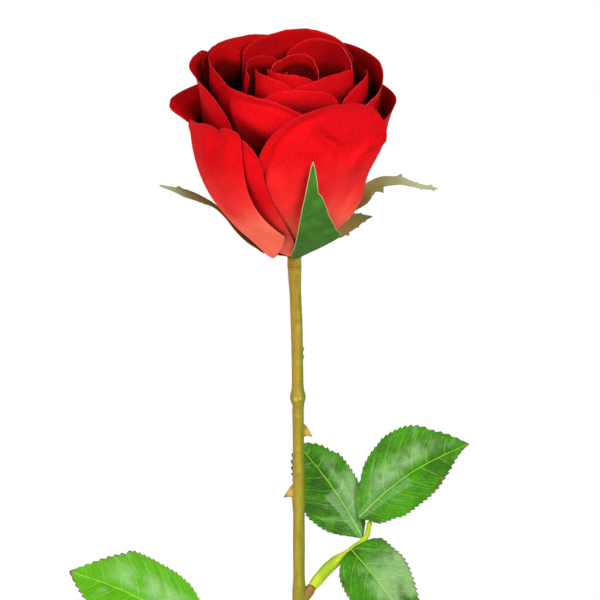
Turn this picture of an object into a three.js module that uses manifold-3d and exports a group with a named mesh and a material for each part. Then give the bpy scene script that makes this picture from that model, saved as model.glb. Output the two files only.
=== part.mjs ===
// A long-stemmed fabric rose standing in a plain ceramic bud vase.
// Millimetres, +Z up, +X to the right and -Y to the front. The origin is the centre of the vase's foot.
// The flower head is a nest of petals. Each petal is a patch of a cup-shaped shell, and the shells lie one
// inside the other, so that no petal crosses its neighbour.

import * as THREE from "three";
import { mergeVertices } from "three/addons/utils/BufferGeometryUtils.js";
import Module from "manifold-3d";

const wasm = await Module();
wasm.setup();

// ---------------------------------------------------------------- driving dimensions

const VASE_HEIGHT = 180;
const VASE_FOOT_RADIUS = 30;
const VASE_BELLY_RADIUS = 37;
const VASE_NECK_RADIUS = 12;
const VASE_LIP_RADIUS = 16;
const VASE_WALL = 3;
const VASE_FLOOR = 7;

const STEM_DIAMETER = 4.7;
const STEM_NODE_DIAMETER = 6.3; // the swollen ring on the stem
const HEAD_Z = 369; // the underside of the flower head above the table
const HEAD_X = 5.1; // the head stands this far right of the vase's axis
const HEAD_NOD = THREE.MathUtils.degToRad(9); // the head nods to the front

const PETAL_THICKNESS = 0.4;
const LEAF_THICKNESS = 0.5;
const GAP = 0.35; // clearance where one piece sits on another
const SEAT = 3.2; // the stem's top lies this far under the head's base, just below the receptacle

const PEG_RADIUS = 2.8; // the receptacle's peg, which every petal is fixed round
const PEG_TOP = 40;

// ---------------------------------------------------------------- materials

function finish(colour, roughness) {
  return new THREE.MeshStandardMaterial({ color: colour, roughness, metalness: 0 });
}

const PETAL_RED = finish(0xd3111f, 0.75);
const SEPAL_GREEN = finish(0x2f7d27, 0.8);
const LEAF_GREEN = finish(0x2c8a2c, 0.5);
const STALK_LIME = finish(0xa3c81f, 0.45);
const STEM_OLIVE = finish(0xa8922f, 0.5);
const GLAZE_WHITE = finish(0xf1efe9, 0.2);

// ---------------------------------------------------------------- shared geometry

const smoothstep = (x) => THREE.MathUtils.smoothstep(x, 0, 1);
const clamp01 = (x) => THREE.MathUtils.clamp(x, 0, 1);
const radians = THREE.MathUtils.degToRad;

function closedGeometry(positions, triangles) {
  const geometry = new THREE.BufferGeometry();
  geometry.setAttribute("position", new THREE.Float32BufferAttribute(positions, 3));
  geometry.setIndex(triangles);
  geometry.computeVertexNormals();
  return geometry;
}

// A sheet of even thickness over point(u, v), u from -1 to 1 across it and v from 0 to 1 along it.
// The cross product of the u and v directions points out of its outer face.
function sheetSolid(point, cellsAcross, cellsAlong, thickness) {
  const rows = cellsAlong + 1;
  const columns = cellsAcross + 1;
  const step = 1e-3; // for the slopes that give the normal
  const outer = [];
  const inner = [];
  for (let j = 0; j < rows; j++) {
    for (let i = 0; i < columns; i++) {
      const u = -1 + (2 * i) / cellsAcross;
      const v = j / cellsAlong;
      const [ua, ub] = [Math.max(-1, u - step), Math.min(1, u + step)];
      const [va, vb] = [Math.max(0, v - step), Math.min(1, v + step)];
      const across = point(ub, v).sub(point(ua, v));
      const along = point(u, vb).sub(point(u, va));
      const normal = across.cross(along).normalize().multiplyScalar(thickness / 2);
      const middle = point(u, v);
      outer.push(middle.clone().add(normal));
      inner.push(middle.clone().sub(normal));
    }
  }
  const all = [...outer, ...inner];
  const at = (i, j) => j * columns + i;
  const under = (i, j) => outer.length + at(i, j);
  const triangles = [];
  const quad = (a, b, c, d) => triangles.push(a, b, c, a, c, d);
  for (let j = 0; j < cellsAlong; j++) {
    for (let i = 0; i < cellsAcross; i++) {
      quad(at(i, j), at(i + 1, j), at(i + 1, j + 1), at(i, j + 1));
      quad(under(i, j), under(i, j + 1), under(i + 1, j + 1), under(i + 1, j));
    }
    quad(at(0, j), at(0, j + 1), under(0, j + 1), under(0, j));
    quad(at(cellsAcross, j + 1), at(cellsAcross, j), under(cellsAcross, j), under(cellsAcross, j + 1));
  }
  for (let i = 0; i < cellsAcross; i++) {
    quad(at(i + 1, 0), at(i, 0), under(i, 0), under(i + 1, 0));
    quad(at(i, cellsAlong), at(i + 1, cellsAlong), under(i + 1, cellsAlong), under(i, cellsAlong));
  }
  return closedGeometry(all.flatMap((p) => [p.x, p.y, p.z]), triangles);
}

// A closed round bar along a smooth curve that lies close to the XZ plane, with its own radius at each of
// the stations, which are shares of the curve's length from 0 to 1.
function taperedBar(curve, radiusAt, stations, sides) {
  const steps = stations.length - 1;
  const positions = [];
  const triangles = [];
  for (const t of stations) {
    const centre = curve.getPointAt(t);
    const across = new THREE.Vector3(0, 1, 0).cross(curve.getTangentAt(t)).normalize();
    const back = curve.getTangentAt(t).cross(across).normalize();
    for (let i = 0; i < sides; i++) {
      const angle = (2 * Math.PI * i) / sides;
      const spoke = across.clone().multiplyScalar(Math.cos(angle)).addScaledVector(back, Math.sin(angle));
      spoke.multiplyScalar(radiusAt(t));
      positions.push(centre.x + spoke.x, centre.y + spoke.y, centre.z + spoke.z);
    }
  }
  const at = (i, j) => j * sides + (i % sides);
  for (let j = 0; j < steps; j++) {
    for (let i = 0; i < sides; i++) {
      triangles.push(at(i, j), at(i + 1, j), at(i + 1, j + 1), at(i, j), at(i + 1, j + 1), at(i, j + 1));
    }
  }
  const ends = [curve.getPointAt(0), curve.getPointAt(1)];
  const first = positions.length / 3;
  ends.forEach((p) => positions.push(p.x, p.y, p.z));
  for (let i = 0; i < sides; i++) {
    triangles.push(first, at(i + 1, 0), at(i, 0), first + 1, at(i, steps), at(i + 1, steps));
  }
  return closedGeometry(positions, triangles);
}

const evenly = (steps) => Array.from({ length: steps + 1 }, (_, i) => i / steps);
const curveThrough = (points) => new THREE.CatmullRomCurve3(points.map((p) => new THREE.Vector3(...p)));

// ---------------------------------------------------------------- joining moulded pieces

function toManifold(geometry) {
  const plain = geometry.clone();
  plain.deleteAttribute("normal");
  plain.deleteAttribute("uv");
  const merged = mergeVertices(plain, 1e-4);
  return new wasm.Manifold(
    new wasm.Mesh({
      numProp: 3,
      vertProperties: merged.attributes.position.array,
      triVerts: new Uint32Array(merged.index.array),
    }),
  );
}

function joined(geometries) {
  const solid = geometries.map(toManifold).reduce((a, b) => a.add(b));
  const mesh = solid.getMesh();
  return closedGeometry(Array.from(mesh.vertProperties), Array.from(mesh.triVerts));
}

// ---------------------------------------------------------------- vase

// Outer wall from the foot up, over the lip and down the inner wall to the floor, closed on the axis.
function vaseGeometry() {
  const outer = new THREE.SplineCurve([
    new THREE.Vector2(VASE_FOOT_RADIUS, 3),
    new THREE.Vector2(VASE_BELLY_RADIUS - 1.5, 22),
    new THREE.Vector2(VASE_BELLY_RADIUS, 45),
    new THREE.Vector2(VASE_BELLY_RADIUS - 5, 74),
    new THREE.Vector2(VASE_NECK_RADIUS + 7, 104),
    new THREE.Vector2(VASE_NECK_RADIUS + 0.6, 132),
    new THREE.Vector2(VASE_NECK_RADIUS, 156),
    new THREE.Vector2(VASE_NECK_RADIUS + 1.2, 170),
    new THREE.Vector2(VASE_LIP_RADIUS, VASE_HEIGHT - 1),
  ]);
  const wall = outer.getSpacedPoints(15);
  const inner = wall
    .filter((p) => p.y > VASE_FLOOR)
    .map((p) => new THREE.Vector2(p.x - VASE_WALL, p.y))
    .reverse();
  const profile = [
    new THREE.Vector2(0, 0),
    new THREE.Vector2(VASE_FOOT_RADIUS - 1.5, 0),
    ...wall,
    new THREE.Vector2(VASE_LIP_RADIUS - 0.6, VASE_HEIGHT),
    new THREE.Vector2(VASE_LIP_RADIUS - VASE_WALL + 0.8, VASE_HEIGHT),
    ...inner,
    new THREE.Vector2(VASE_FOOT_RADIUS - VASE_WALL - 3, VASE_FLOOR),
    new THREE.Vector2(0, VASE_FLOOR),
  ];
  const geometry = new THREE.LatheGeometry(profile, 28);
  geometry.rotateX(Math.PI / 2);
  return geometry;
}

// ---------------------------------------------------------------- stem

const RIGHT_PEG_Z = HEAD_Z - 137; // where each leaf stalk's socket leaves the stem
const LEFT_PEG_Z = HEAD_Z - 178;

const STEM_PATH = curveThrough([
  [-9.5, 0, VASE_FLOOR + 1.7],
  [-3.2, 0, 80],
  [5.8, 0, 150],
  [7.3, 0, LEFT_PEG_Z],
  [7.0, 0, RIGHT_PEG_Z],
  [6.6, 0.2, HEAD_Z - 70],
  [6.0, 0.4, HEAD_Z - 30],
  [HEAD_X, 0, HEAD_Z - SEAT],
]);

// Where the stem swells: [distance below the head, extra radius, half the length of the swelling].
const SWELLINGS = [
  [57, (STEM_NODE_DIAMETER - STEM_DIAMETER) / 2, 2.4],
  [99.5, 0.35, 3],
  [138, 0.5, 5],
  [178, 0.6, 5],
];

const stemTop = STEM_PATH.getPointAt(1).z;
const stemShareAt = (below) => 1 - (below - (HEAD_Z - stemTop)) / STEM_PATH.getLength();

function stemStations() {
  const acrossRing = [-1.6, -0.8, 0, 0.8, 1.6];
  const rings = SWELLINGS.flatMap(([below, , half]) => acrossRing.map((k) => below + k * half));
  const between = [8, 16, 30, 44, 74, 88, 116, 154, 200, 235, 265, 290, 312, 332];
  const shares = [...rings, ...between].map(stemShareAt);
  return [0, ...shares.sort((a, b) => a - b), 1];
}

function stemRadius(t) {
  const below = HEAD_Z - STEM_PATH.getPointAt(t).z;
  const bump = ([centre, extra, half]) => extra * Math.exp(-(((below - centre) / half) ** 2));
  const rings = SWELLINGS.map(bump).reduce((a, b) => a + b);
  return STEM_DIAMETER / 2 + rings + 0.5 * smoothstep((16 - below) / 14);
}

// A thorn on the stem's right, side 1, or left, side -1, hooked a little downward.
const STEM_X_AT_THORNS = 6.9;

function thorn(z, side) {
  const x = side * (STEM_DIAMETER / 2) + STEM_X_AT_THORNS;
  const curve = curveThrough([
    [x - side * 1.4, 0, z + 1.6],
    [x + side * 1.2, -0.2, z],
    [x + side * 3.3, -0.4, z - 2.8],
  ]);
  return taperedBar(curve, (t) => 1.7 * (1 - t) ** 0.8 + 0.12, evenly(4), 8);
}

// The rough socket that a leaf stalk plugs into, rising at 45 degrees from the stem.
function socket(start, end) {
  return taperedBar(curveThrough([start, end]), (t) => 1.9 + 0.4 * Math.sin(Math.PI * t), evenly(3), 8);
}

const RIGHT_SOCKET = [
  [7.4, 0, RIGHT_PEG_Z - 4.6],
  [12.3, 1, RIGHT_PEG_Z + 2],
];
const LEFT_SOCKET = [
  [6.6, 0, LEFT_PEG_Z - 4],
  [1.4, 1.3, LEFT_PEG_Z + 1.6],
];

function stemGeometry() {
  return joined([
    taperedBar(STEM_PATH, stemRadius, stemStations(), 10),
    thorn(HEAD_Z - 71, 1),
    thorn(HEAD_Z - 95, -1),
    socket(...RIGHT_SOCKET),
    socket(...LEFT_SOCKET),
  ]);
}

// ---------------------------------------------------------------- leaves

// A leaf stalk is a moulded bar: a fat sleeve at its socket, then a slim stalk.
function stalkGeometry(points, sleeveRadius) {
  const slim = 1.05;
  const radiusAt = (t) => slim + (sleeveRadius - slim) * smoothstep((0.5 - t) / 0.26);
  return taperedBar(curveThrough(points), radiusAt, evenly(14), 8);
}

const RIGHT_STALK = [
  [12.9, 1.2, RIGHT_PEG_Z + 2.6],
  [18.6, 3, RIGHT_PEG_Z + 9],
  [24.6, 4.6, RIGHT_PEG_Z + 13.8],
  [29.2, 5.7, RIGHT_PEG_Z + 17.2],
  [33.6, 6.8, RIGHT_PEG_Z + 20.6],
  [35.4, 6, RIGHT_PEG_Z + 27.6],
];
const LEFT_STALK = [
  [0.9, 1.5, LEFT_PEG_Z + 2.1],
  [-4.6, 2.2, LEFT_PEG_Z + 6.2],
  [-11.5, 1.6, LEFT_PEG_Z + 10.4],
  [-19, 0.6, LEFT_PEG_Z + 14.2],
  [-26, -0.6, LEFT_PEG_Z + 17.6],
  [-31.5, -1.6, LEFT_PEG_Z + 20.6],
];

// base and tip are the ends of the midrib, and facing is the side that its upper face looks to. halves is
// the blade's width on each side of the midrib. fold is how far the edges rise, and arch how far the midrib
// bows.
const LEAVES = [
  {
    name: "right_leaflet_upper_left",
    base: [32.4, 8.5, RIGHT_PEG_Z + 20.6], tip: [5.9, 14, RIGHT_PEG_Z + 58],
    facing: [0.15, -0.9, 0.35], halves: [14.5, 11.2], fold: 2, arch: 2,
  },
  {
    name: "right_leaflet_tip",
    base: [31, 6.4, RIGHT_PEG_Z + 29.2], tip: [75.2, 8, RIGHT_PEG_Z + 59],
    facing: [-0.1, -0.9, 0.4], halves: [18.2, 13.4], fold: 2.5, arch: 2.5,
  },
  {
    name: "right_leaflet_lower",
    base: [27.9, 3.5, RIGHT_PEG_Z + 16.5], tip: [56.5, -6, RIGHT_PEG_Z - 20],
    facing: [0.2, -0.8, 0.45], halves: [11.4, 15], fold: 2.5, arch: 3,
  },
  {
    name: "left_leaflet_tip",
    base: [-31.2, -3.2, LEFT_PEG_Z + 20.6], tip: [-85.2, -5, LEFT_PEG_Z + 50.5],
    facing: [0.1, -0.85, 0.5], halves: [15.5, 16], fold: 3, arch: 3,
  },
  {
    name: "left_leaflet_lower",
    base: [-19.4, -0.95, LEFT_PEG_Z + 13.7], tip: [-51, -22, LEFT_PEG_Z - 16],
    facing: [-0.35, -0.65, 0.6], halves: [14.5, 14.5], fold: 2.5, arch: 4,
  },
  {
    name: "left_leaflet_back",
    base: [-20.6, 2, LEFT_PEG_Z + 15.4], tip: [-34, 46, LEFT_PEG_Z + 18],
    facing: [0.1, -0.25, 0.95], halves: [14.5, 14.5], fold: 2.5, arch: 5,
  },
];

// Half the blade's width at share v of its length, as a share of its greatest half width.
function bladeShape(v) {
  const body = Math.sin(Math.PI * v ** 0.82) ** 0.72;
  const narrowEnd = 0.045;
  return Math.max(narrowEnd, body);
}

function leafGeometry({ base, tip, facing, halves, fold, arch }) {
  const start = new THREE.Vector3(...base);
  const along = new THREE.Vector3(...tip).sub(start);
  const length = along.length();
  const rib = along.clone().normalize();
  const side = new THREE.Vector3(...facing).cross(rib).normalize();
  const up = rib.clone().cross(side).normalize();
  const point = (u, v) => {
    const half = (u < 0 ? halves[0] : halves[1]) * bladeShape(v);
    const rise = fold * Math.abs(u) * bladeShape(v) + arch * Math.sin(Math.PI * v) * (1 - 0.35 * u * u);
    return start
      .clone()
      .addScaledVector(rib, length * v)
      .addScaledVector(side, -u * half)
      .addScaledVector(up, rise);
  };
  return sheetSolid(point, 6, 8, LEAF_THICKNESS);
}

// ---------------------------------------------------------------- shells of the flower head

// Radius of the outermost shell at a height above the head's base: a tulip, widest at BELLY_Z.
const BELLY_Z = 55;
const BELLY_RADIUS = 40.5;
const SHELL_FOOT_RADIUS = 3.4;
const SHELL_PITCH = 1; // how far in each millimetre of stacking depth moves a shell's wall

function shellRadius(z) {
  if (z > BELLY_Z) return BELLY_RADIUS - 5.5 * ((z - BELLY_Z) / 30) ** 2;
  const rise = (Math.max(0, z) / BELLY_Z) ** 0.8;
  return SHELL_FOOT_RADIUS + (BELLY_RADIUS - SHELL_FOOT_RADIUS) * Math.sin((Math.PI / 2) * rise);
}

// The head is a little flat on its right side: every shell's radius is multiplied by this.
function flattened(angle, z) {
  return 1 - 0.075 * Math.max(0, Math.cos(angle)) ** 2 * Math.exp(-(((z - 30) / 14) ** 2));
}

// The line that a petal follows from the peg to its rim: a function that gives the radius and height at a
// share of its length. depth is the petal's place in the stack, counted inward from the outermost shell.
function meridian({ depth, top, rim, root = PEG_RADIUS + 0.6 }) {
  const plain = (z) => shellRadius(z - depth) - SHELL_PITCH * depth;
  let bottom = depth;
  while (plain(bottom) < root) bottom += 0.02;
  const offset = rim - plain(top);
  const radiusAt = (z) => {
    const x = (z - bottom) / (top - bottom);
    return plain(z) + offset * (offset < 0 ? 1 - (1 - x) ** 2 : x ** 7);
  };
  const fine = [];
  const samples = 200;
  for (let i = 0; i <= samples; i++) {
    const z = bottom + (top - bottom) * (i / samples) ** 1.5;
    fine.push(new THREE.Vector2(radiusAt(z), z));
  }
  const lengths = [0];
  for (let i = 1; i <= samples; i++) lengths.push(lengths[i - 1] + fine[i].distanceTo(fine[i - 1]));
  return (share) => {
    const wanted = share * lengths[samples];
    let i = 1;
    while (i < samples && lengths[i] < wanted) i++;
    const between = (wanted - lengths[i - 1]) / (lengths[i] - lengths[i - 1]);
    return fine[i - 1].clone().lerp(fine[i], between);
  };
}

// ---------------------------------------------------------------- petals

// azimuth  degrees, counted anticlockwise from +X seen from above, so that 270 is the front
// span     half the petal's width, measured round its shell
// depth    place in the stack; top and rim are the height and radius of the middle of the rim
// round    share of the length that the rim drops by at its two ends, and tilt how much of it the
//          end at the greater azimuth stands higher
// twist    how much further out the end at the greater azimuth is
// flare    how far the rim turns out, with lean moving it to the end at the greater azimuth
// swell    how far the whole shoulder bulges
// root     radius where the petal starts, and foot half its width there
const PETALS = [
  {
    name: "outer_petal_1", azimuth: 212, span: 23.5, depth: 0, top: 69, rim: 43, round: 0.2, flare: 3,
    root: 8, foot: 7,
  },
  { name: "outer_petal_2", azimuth: 228, span: 18, depth: 1, top: 67, rim: 41, round: 0.25 },
  {
    name: "outer_petal_3", azimuth: 291, span: 28.5, depth: 2, top: 79.5, rim: 40.5, round: 0.34,
    flare: 0.5,
  },
  {
    name: "outer_petal_4", azimuth: 356, span: 20, depth: 3, top: 70, rim: 37.5, round: 0.25,
    flare: 0.5, swell: 3,
  },
  { name: "outer_petal_5", azimuth: 66, span: 26.5, depth: 4, top: 69, rim: 41, round: 0.25, flare: 4 },
  { name: "outer_petal_6", azimuth: 111, span: 26, depth: 1, top: 67, rim: 43.5, round: 0.25, flare: 3 },
  {
    name: "outer_petal_7", azimuth: 163, span: 23.5, depth: 2, top: 67.5, rim: 40, round: 0.22,
    flare: 6.2, lean: 1,
  },
  {
    name: "cup_petal_1", azimuth: 188, span: 28, depth: 5, top: 81.5, rim: 39.5, round: 0.16,
    tilt: -0.07, twist: -0.3,
  },
  {
    name: "cup_petal_2", azimuth: 239, span: 28.5, depth: 6, top: 81.5, rim: 35.8, round: 0.14,
    tilt: -0.03, twist: 0.3,
  },
  { name: "cup_petal_3", azimuth: 12, span: 33, depth: 5, top: 79, rim: 34.8, round: 0.1, tilt: 0.02 },
  { name: "cup_petal_4", azimuth: 128, span: 24, depth: 6, top: 83, rim: 39, round: 0.08 },
  { name: "cup_petal_5", azimuth: 85, span: 22, depth: 8, top: 82, rim: 34, round: 0.1 },
  { name: "inner_petal_1", azimuth: 166, span: 23, depth: 7, top: 81.5, rim: 32.5, round: 0.12 },
  { name: "inner_petal_2", azimuth: 88, span: 24, depth: 9, top: 86.7, rim: 29.4, round: 0.12 },
  { name: "inner_petal_3", azimuth: 347, span: 22, depth: 7, top: 81, rim: 31, round: 0.1 },
  { name: "inner_petal_4", azimuth: 274, span: 18, depth: 8, top: 82, rim: 27, round: 0.14 },
];

// The bud at the heart, rolled tighter and meshed coarser, because little of it shows.
const BUD_PETALS = [
  { name: "bud_petal_1", azimuth: 236, span: 13.5, depth: 10, top: 84.5, rim: 21, round: 0.06, tilt: -0.03 },
  { name: "bud_petal_2", azimuth: 303, span: 16, depth: 9, top: 84, rim: 22.8, round: 0.07, tilt: 0.01 },
  { name: "bud_petal_3", azimuth: 50, span: 24, depth: 10, top: 86.5, rim: 22, round: 0.14 },
  { name: "bud_petal_4", azimuth: 158, span: 16, depth: 11, top: 84.5, rim: 19.5, round: 0.08 },
  { name: "bud_petal_5", azimuth: 262, span: 13, depth: 12, top: 84.5, rim: 16, round: 0.06 },
  { name: "bud_petal_6", azimuth: 80, span: 15, depth: 13, top: 84.5, rim: 10.5, round: 0.08 },
  { name: "bud_petal_7", azimuth: 255, span: 9, depth: 14, top: 83, rim: 8.5, round: 0.06 },
];

const PETAL_FOOT = 3; // half the width of most petals at the peg
const FULL_WIDTH_AT = 0.55; // share of a petal's length where it reaches its full width

function petalGeometry(petal, cellsAcross, cellsAlong) {
  const { azimuth, span, round, foot = PETAL_FOOT } = petal;
  const { tilt = 0, twist = 0, flare = 0, lean = 0, swell = 0 } = petal;
  const line = meridian(petal);
  const point = (u, v) => {
    const drop = round * (1 - Math.sqrt(1 - (0.98 * u) ** 2)) - tilt * u;
    const s = clamp01(v * (1 - drop));
    const { x: onShell, y: height } = line(s);
    const half = foot + (span - foot) * Math.sin((Math.PI / 2) * clamp01(s / FULL_WIDTH_AT));
    const angle = radians(azimuth) + (u * half) / Math.max(onShell, PEG_RADIUS);
    const lip = clamp01((s - 0.87) / 0.13) ** 1.3 * (1 - u * u) * (1 + lean * u);
    const shoulder = smoothstep((s - 0.55) / 0.3) * (1 - u * u) ** 2;
    const turnedOut = twist * u * smoothstep(s) + flare * lip + swell * shoulder;
    const radius = onShell * flattened(angle, height) + turnedOut;
    return new THREE.Vector3(radius * Math.cos(angle), radius * Math.sin(angle), height - 0.25 * flare * lip);
  };
  return sheetSolid(point, cellsAcross, cellsAlong, PETAL_THICKNESS);
}

// ---------------------------------------------------------------- sepals

// The calyx is one star-shaped piece: five sepals on a small ring. A sepal lies along the outside of the
// petals up to the height leave, and then sweeps through the point bend to its tip.
// bend and tip are [radius, height], and turn is how far the tip swings round, in degrees.
const SEPALS = [
  { azimuth: 300, leave: 48, bend: [42, 53], tip: [42.6, 56], width: 19, turn: -20 },
  { azimuth: 358, leave: 27, bend: [40, 34.5], tip: [57, 30], width: 13, turn: 3 },
  { azimuth: 43, leave: 4, bend: [29, 9.5], tip: [46, 7], width: 13, turn: 0 },
  { azimuth: 113, leave: 10, bend: [34, 20], tip: [56, 24], width: 13, turn: 5 },
  { azimuth: 176, leave: 16, bend: [37, 23.5], tip: [58, 31], width: 12, turn: 3 },
];
const CALYX_CLEARANCE = 1; // how far below the petals' own shell the calyx lies
const CALYX_RING = [PEG_RADIUS + GAP, 7]; // inner and outer radius

const calyxRadius = (z) => shellRadius(z + CALYX_CLEARANCE) + SHELL_PITCH * CALYX_CLEARANCE;

function calyxHeight(radius) {
  let z = -CALYX_CLEARANCE;
  while (calyxRadius(z) < radius) z += 0.01;
  return z;
}

function sepalPath({ leave, bend, tip }) {
  const start = calyxHeight(CALYX_RING[1] - 2);
  const points = [];
  for (let i = 0; i <= 8; i++) {
    const z = start + (leave - start) * (i / 8) ** 1.5;
    points.push(new THREE.Vector2(calyxRadius(z), z));
  }
  points.push(new THREE.Vector2(...bend), new THREE.Vector2(...tip));
  return new THREE.SplineCurve(points);
}

function sepalGeometry(sepal) {
  const path = sepalPath(sepal);
  const point = (u, v) => {
    const { x: radius, y: height } = path.getPointAt(v);
    const taper = v < 0.25 ? 0.4 + 2.4 * v : 1 - 0.95 * ((v - 0.25) / 0.75) ** 0.9;
    const angle = radians(sepal.azimuth + sepal.turn * v) + (u * sepal.width * taper) / 2 / radius;
    const out = radius * flattened(angle, height);
    return new THREE.Vector3(out * Math.cos(angle), out * Math.sin(angle), height);
  };
  return sheetSolid(point, 4, 10, PETAL_THICKNESS);
}

function calyxRing() {
  const [inside, outside] = CALYX_RING;
  const low = calyxHeight(inside + 0.1) - 0.3;
  const high = calyxHeight(outside) - 0.3;
  const profile = [
    [inside, low], [outside, high], [outside, high + 0.6], [inside, low + 0.6], [inside, low],
  ].map(([x, y]) => new THREE.Vector2(x, y));
  const geometry = new THREE.LatheGeometry(profile, 20);
  geometry.rotateX(Math.PI / 2);
  return geometry;
}

const calyxGeometry = () => joined([calyxRing(), ...SEPALS.map(sepalGeometry)]);

// ---------------------------------------------------------------- receptacle

// The flange that carries the sepals, and the peg above it that the petals are fixed round.
function receptacleGeometry() {
  const flange = 3.8; // radius
  const under = -2.4; // the flange's underside
  const profile = [
    [0, under], [flange - 0.6, under], [flange, under + 0.2], [flange, under + 0.6],
    [PEG_RADIUS, under + 0.7], [PEG_RADIUS, PEG_TOP / 2],
    [PEG_RADIUS - 0.5, PEG_TOP - 2], [PEG_RADIUS - 1.5, PEG_TOP], [0, PEG_TOP],
  ].map(([x, y]) => new THREE.Vector2(x, y));
  const geometry = new THREE.LatheGeometry(profile, 12);
  geometry.rotateX(Math.PI / 2);
  return geometry;
}

// ---------------------------------------------------------------- the whole rose

function named(name, geometry, material) {
  const mesh = new THREE.Mesh(geometry, material.clone());
  mesh.name = name;
  return mesh;
}

function flowerHead() {
  const head = new THREE.Group();
  head.position.set(HEAD_X, 0, HEAD_Z);
  head.rotation.x = HEAD_NOD;
  head.add(named("receptacle", receptacleGeometry(), STEM_OLIVE));
  for (const petal of PETALS) head.add(named(petal.name, petalGeometry(petal, 7, 10), PETAL_RED));
  for (const petal of BUD_PETALS) head.add(named(petal.name, petalGeometry(petal, 7, 8), PETAL_RED));
  head.add(named("calyx", calyxGeometry(), SEPAL_GREEN));
  return head;
}

const rose = new THREE.Group();
rose.add(named("vase", vaseGeometry(), GLAZE_WHITE));
rose.add(named("stem", stemGeometry(), STEM_OLIVE));
rose.add(named("right_leaf_stalk", stalkGeometry(RIGHT_STALK, 2.3), STALK_LIME));
rose.add(named("left_leaf_stalk", stalkGeometry(LEFT_STALK, 2.3), STALK_LIME));
for (const leaf of LEAVES) rose.add(named(leaf.name, leafGeometry(leaf), LEAF_GREEN));
rose.add(flowerHead());

export default rose;
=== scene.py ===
import math
from dataclasses import dataclass

import bmesh
import bpy
import numpy as np
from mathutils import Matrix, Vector


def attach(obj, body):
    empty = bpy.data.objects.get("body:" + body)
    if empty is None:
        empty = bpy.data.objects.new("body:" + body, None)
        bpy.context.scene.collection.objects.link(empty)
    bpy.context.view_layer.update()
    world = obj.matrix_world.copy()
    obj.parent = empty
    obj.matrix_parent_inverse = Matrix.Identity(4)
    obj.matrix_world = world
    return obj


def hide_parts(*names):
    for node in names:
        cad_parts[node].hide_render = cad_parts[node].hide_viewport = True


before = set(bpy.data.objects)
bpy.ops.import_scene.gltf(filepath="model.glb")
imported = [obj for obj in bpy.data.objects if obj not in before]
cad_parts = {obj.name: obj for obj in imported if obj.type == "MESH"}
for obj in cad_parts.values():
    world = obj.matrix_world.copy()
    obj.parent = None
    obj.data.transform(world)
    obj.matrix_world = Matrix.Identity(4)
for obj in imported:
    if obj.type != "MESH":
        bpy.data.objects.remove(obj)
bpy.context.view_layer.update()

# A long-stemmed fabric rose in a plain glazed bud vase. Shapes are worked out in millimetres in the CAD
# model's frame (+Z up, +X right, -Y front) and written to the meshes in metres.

MM = 0.001

# -------- sizes, as in the CAD model

HEAD = np.array([5.1, 0.0, 369.0])  # the flower head's base
HEAD_NOD = math.radians(9)  # forwards
PEG_RADIUS = 2.8
PETAL_THICKNESS = 0.34
LEAF_THICKNESS = 0.45
STEM_RADIUS = 2.35
RIGHT_PEG_Z = HEAD[2] - 137
LEFT_PEG_Z = HEAD[2] - 178

VASE_HEIGHT = 180
VASE_FOOT_RADIUS = 30
VASE_BELLY_RADIUS = 37
VASE_NECK_RADIUS = 12
VASE_LIP_RADIUS = 16
VASE_WALL = 3
VASE_FLOOR = 7

# -------- small mathematics

RUMPLE_WAVES = 5
NARROWING = 0.17  # how much narrower the head's underside is on its right side


def clamp01(x):
    return np.clip(x, 0, 1)


def smoothstep(x):
    t = clamp01(x)
    return t * t * (3 - 2 * t)


def bell(x):
    return np.exp(-x * x)


def unit(vectors):
    return vectors / np.maximum(np.linalg.norm(vectors, axis=-1, keepdims=True), 1e-9)


def turn_from(angle, middle):
    """The angle counted from the middle, between -pi and pi."""
    return np.angle(np.exp(1j * (angle - middle)))


def cloth_places(rows, columns):
    """Grids of u, from -1 to 1 across the cloth, and v, from 0 at its root to 1 at its tip."""
    return np.meshgrid(np.linspace(-1, 1, columns), np.linspace(0, 1, rows))


def round_angles(sides):
    return np.linspace(0, 2 * np.pi, sides, endpoint=False)[None, :]


def from_level(level, points):
    """Points whose heights are counted from that level."""
    return [(x, y, z + level) for x, y, z in points]


def rumple(seed, *coordinates):
    """A smooth uneven field, mostly from -1 to 1, over the coordinates. It turns about once in 6 units."""
    rng = np.random.default_rng(seed)
    total = 0
    for _ in range(RUMPLE_WAVES):
        heading = rng.normal(size=len(coordinates))
        heading *= rng.uniform(0.6, 1.6) / np.linalg.norm(heading)
        phase = rng.uniform(0, 2 * np.pi)
        total = total + np.sin(sum(h * c for h, c in zip(heading, coordinates)) + phase)
    return total / RUMPLE_WAVES ** 0.5


def through(points, shares):
    """The smooth curve through the points, at those shares of its length."""
    p = np.array(points, float)
    p = np.vstack([2 * p[0] - p[1], p, 2 * p[-1] - p[-2]])
    knots = np.concatenate([[0], np.cumsum(np.linalg.norm(np.diff(p, axis=0), axis=1) ** 0.5)])
    made = []
    for i in range(1, len(p) - 2):
        t = np.linspace(knots[i], knots[i + 1], 24, endpoint=i == len(p) - 3)[:, None]
        k = knots[i - 1 : i + 3]
        a = [((k[j + 1] - t) * p[i - 1 + j] + (t - k[j]) * p[i + j]) / (k[j + 1] - k[j]) for j in range(3)]
        b = [((k[j + 2] - t) * a[j] + (t - k[j]) * a[j + 1]) / (k[j + 2] - k[j]) for j in range(2)]
        made.append(((k[2] - t) * b[0] + (t - k[1]) * b[1]) / (k[2] - k[1]))
    curve = np.vstack(made)
    lengths = np.concatenate([[0], np.cumsum(np.linalg.norm(np.diff(curve, axis=0), axis=1))])
    wanted = np.asarray(shares) * lengths[-1]
    return np.stack([np.interp(wanted, lengths, curve[:, i]) for i in range(curve.shape[1])], -1)


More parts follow.
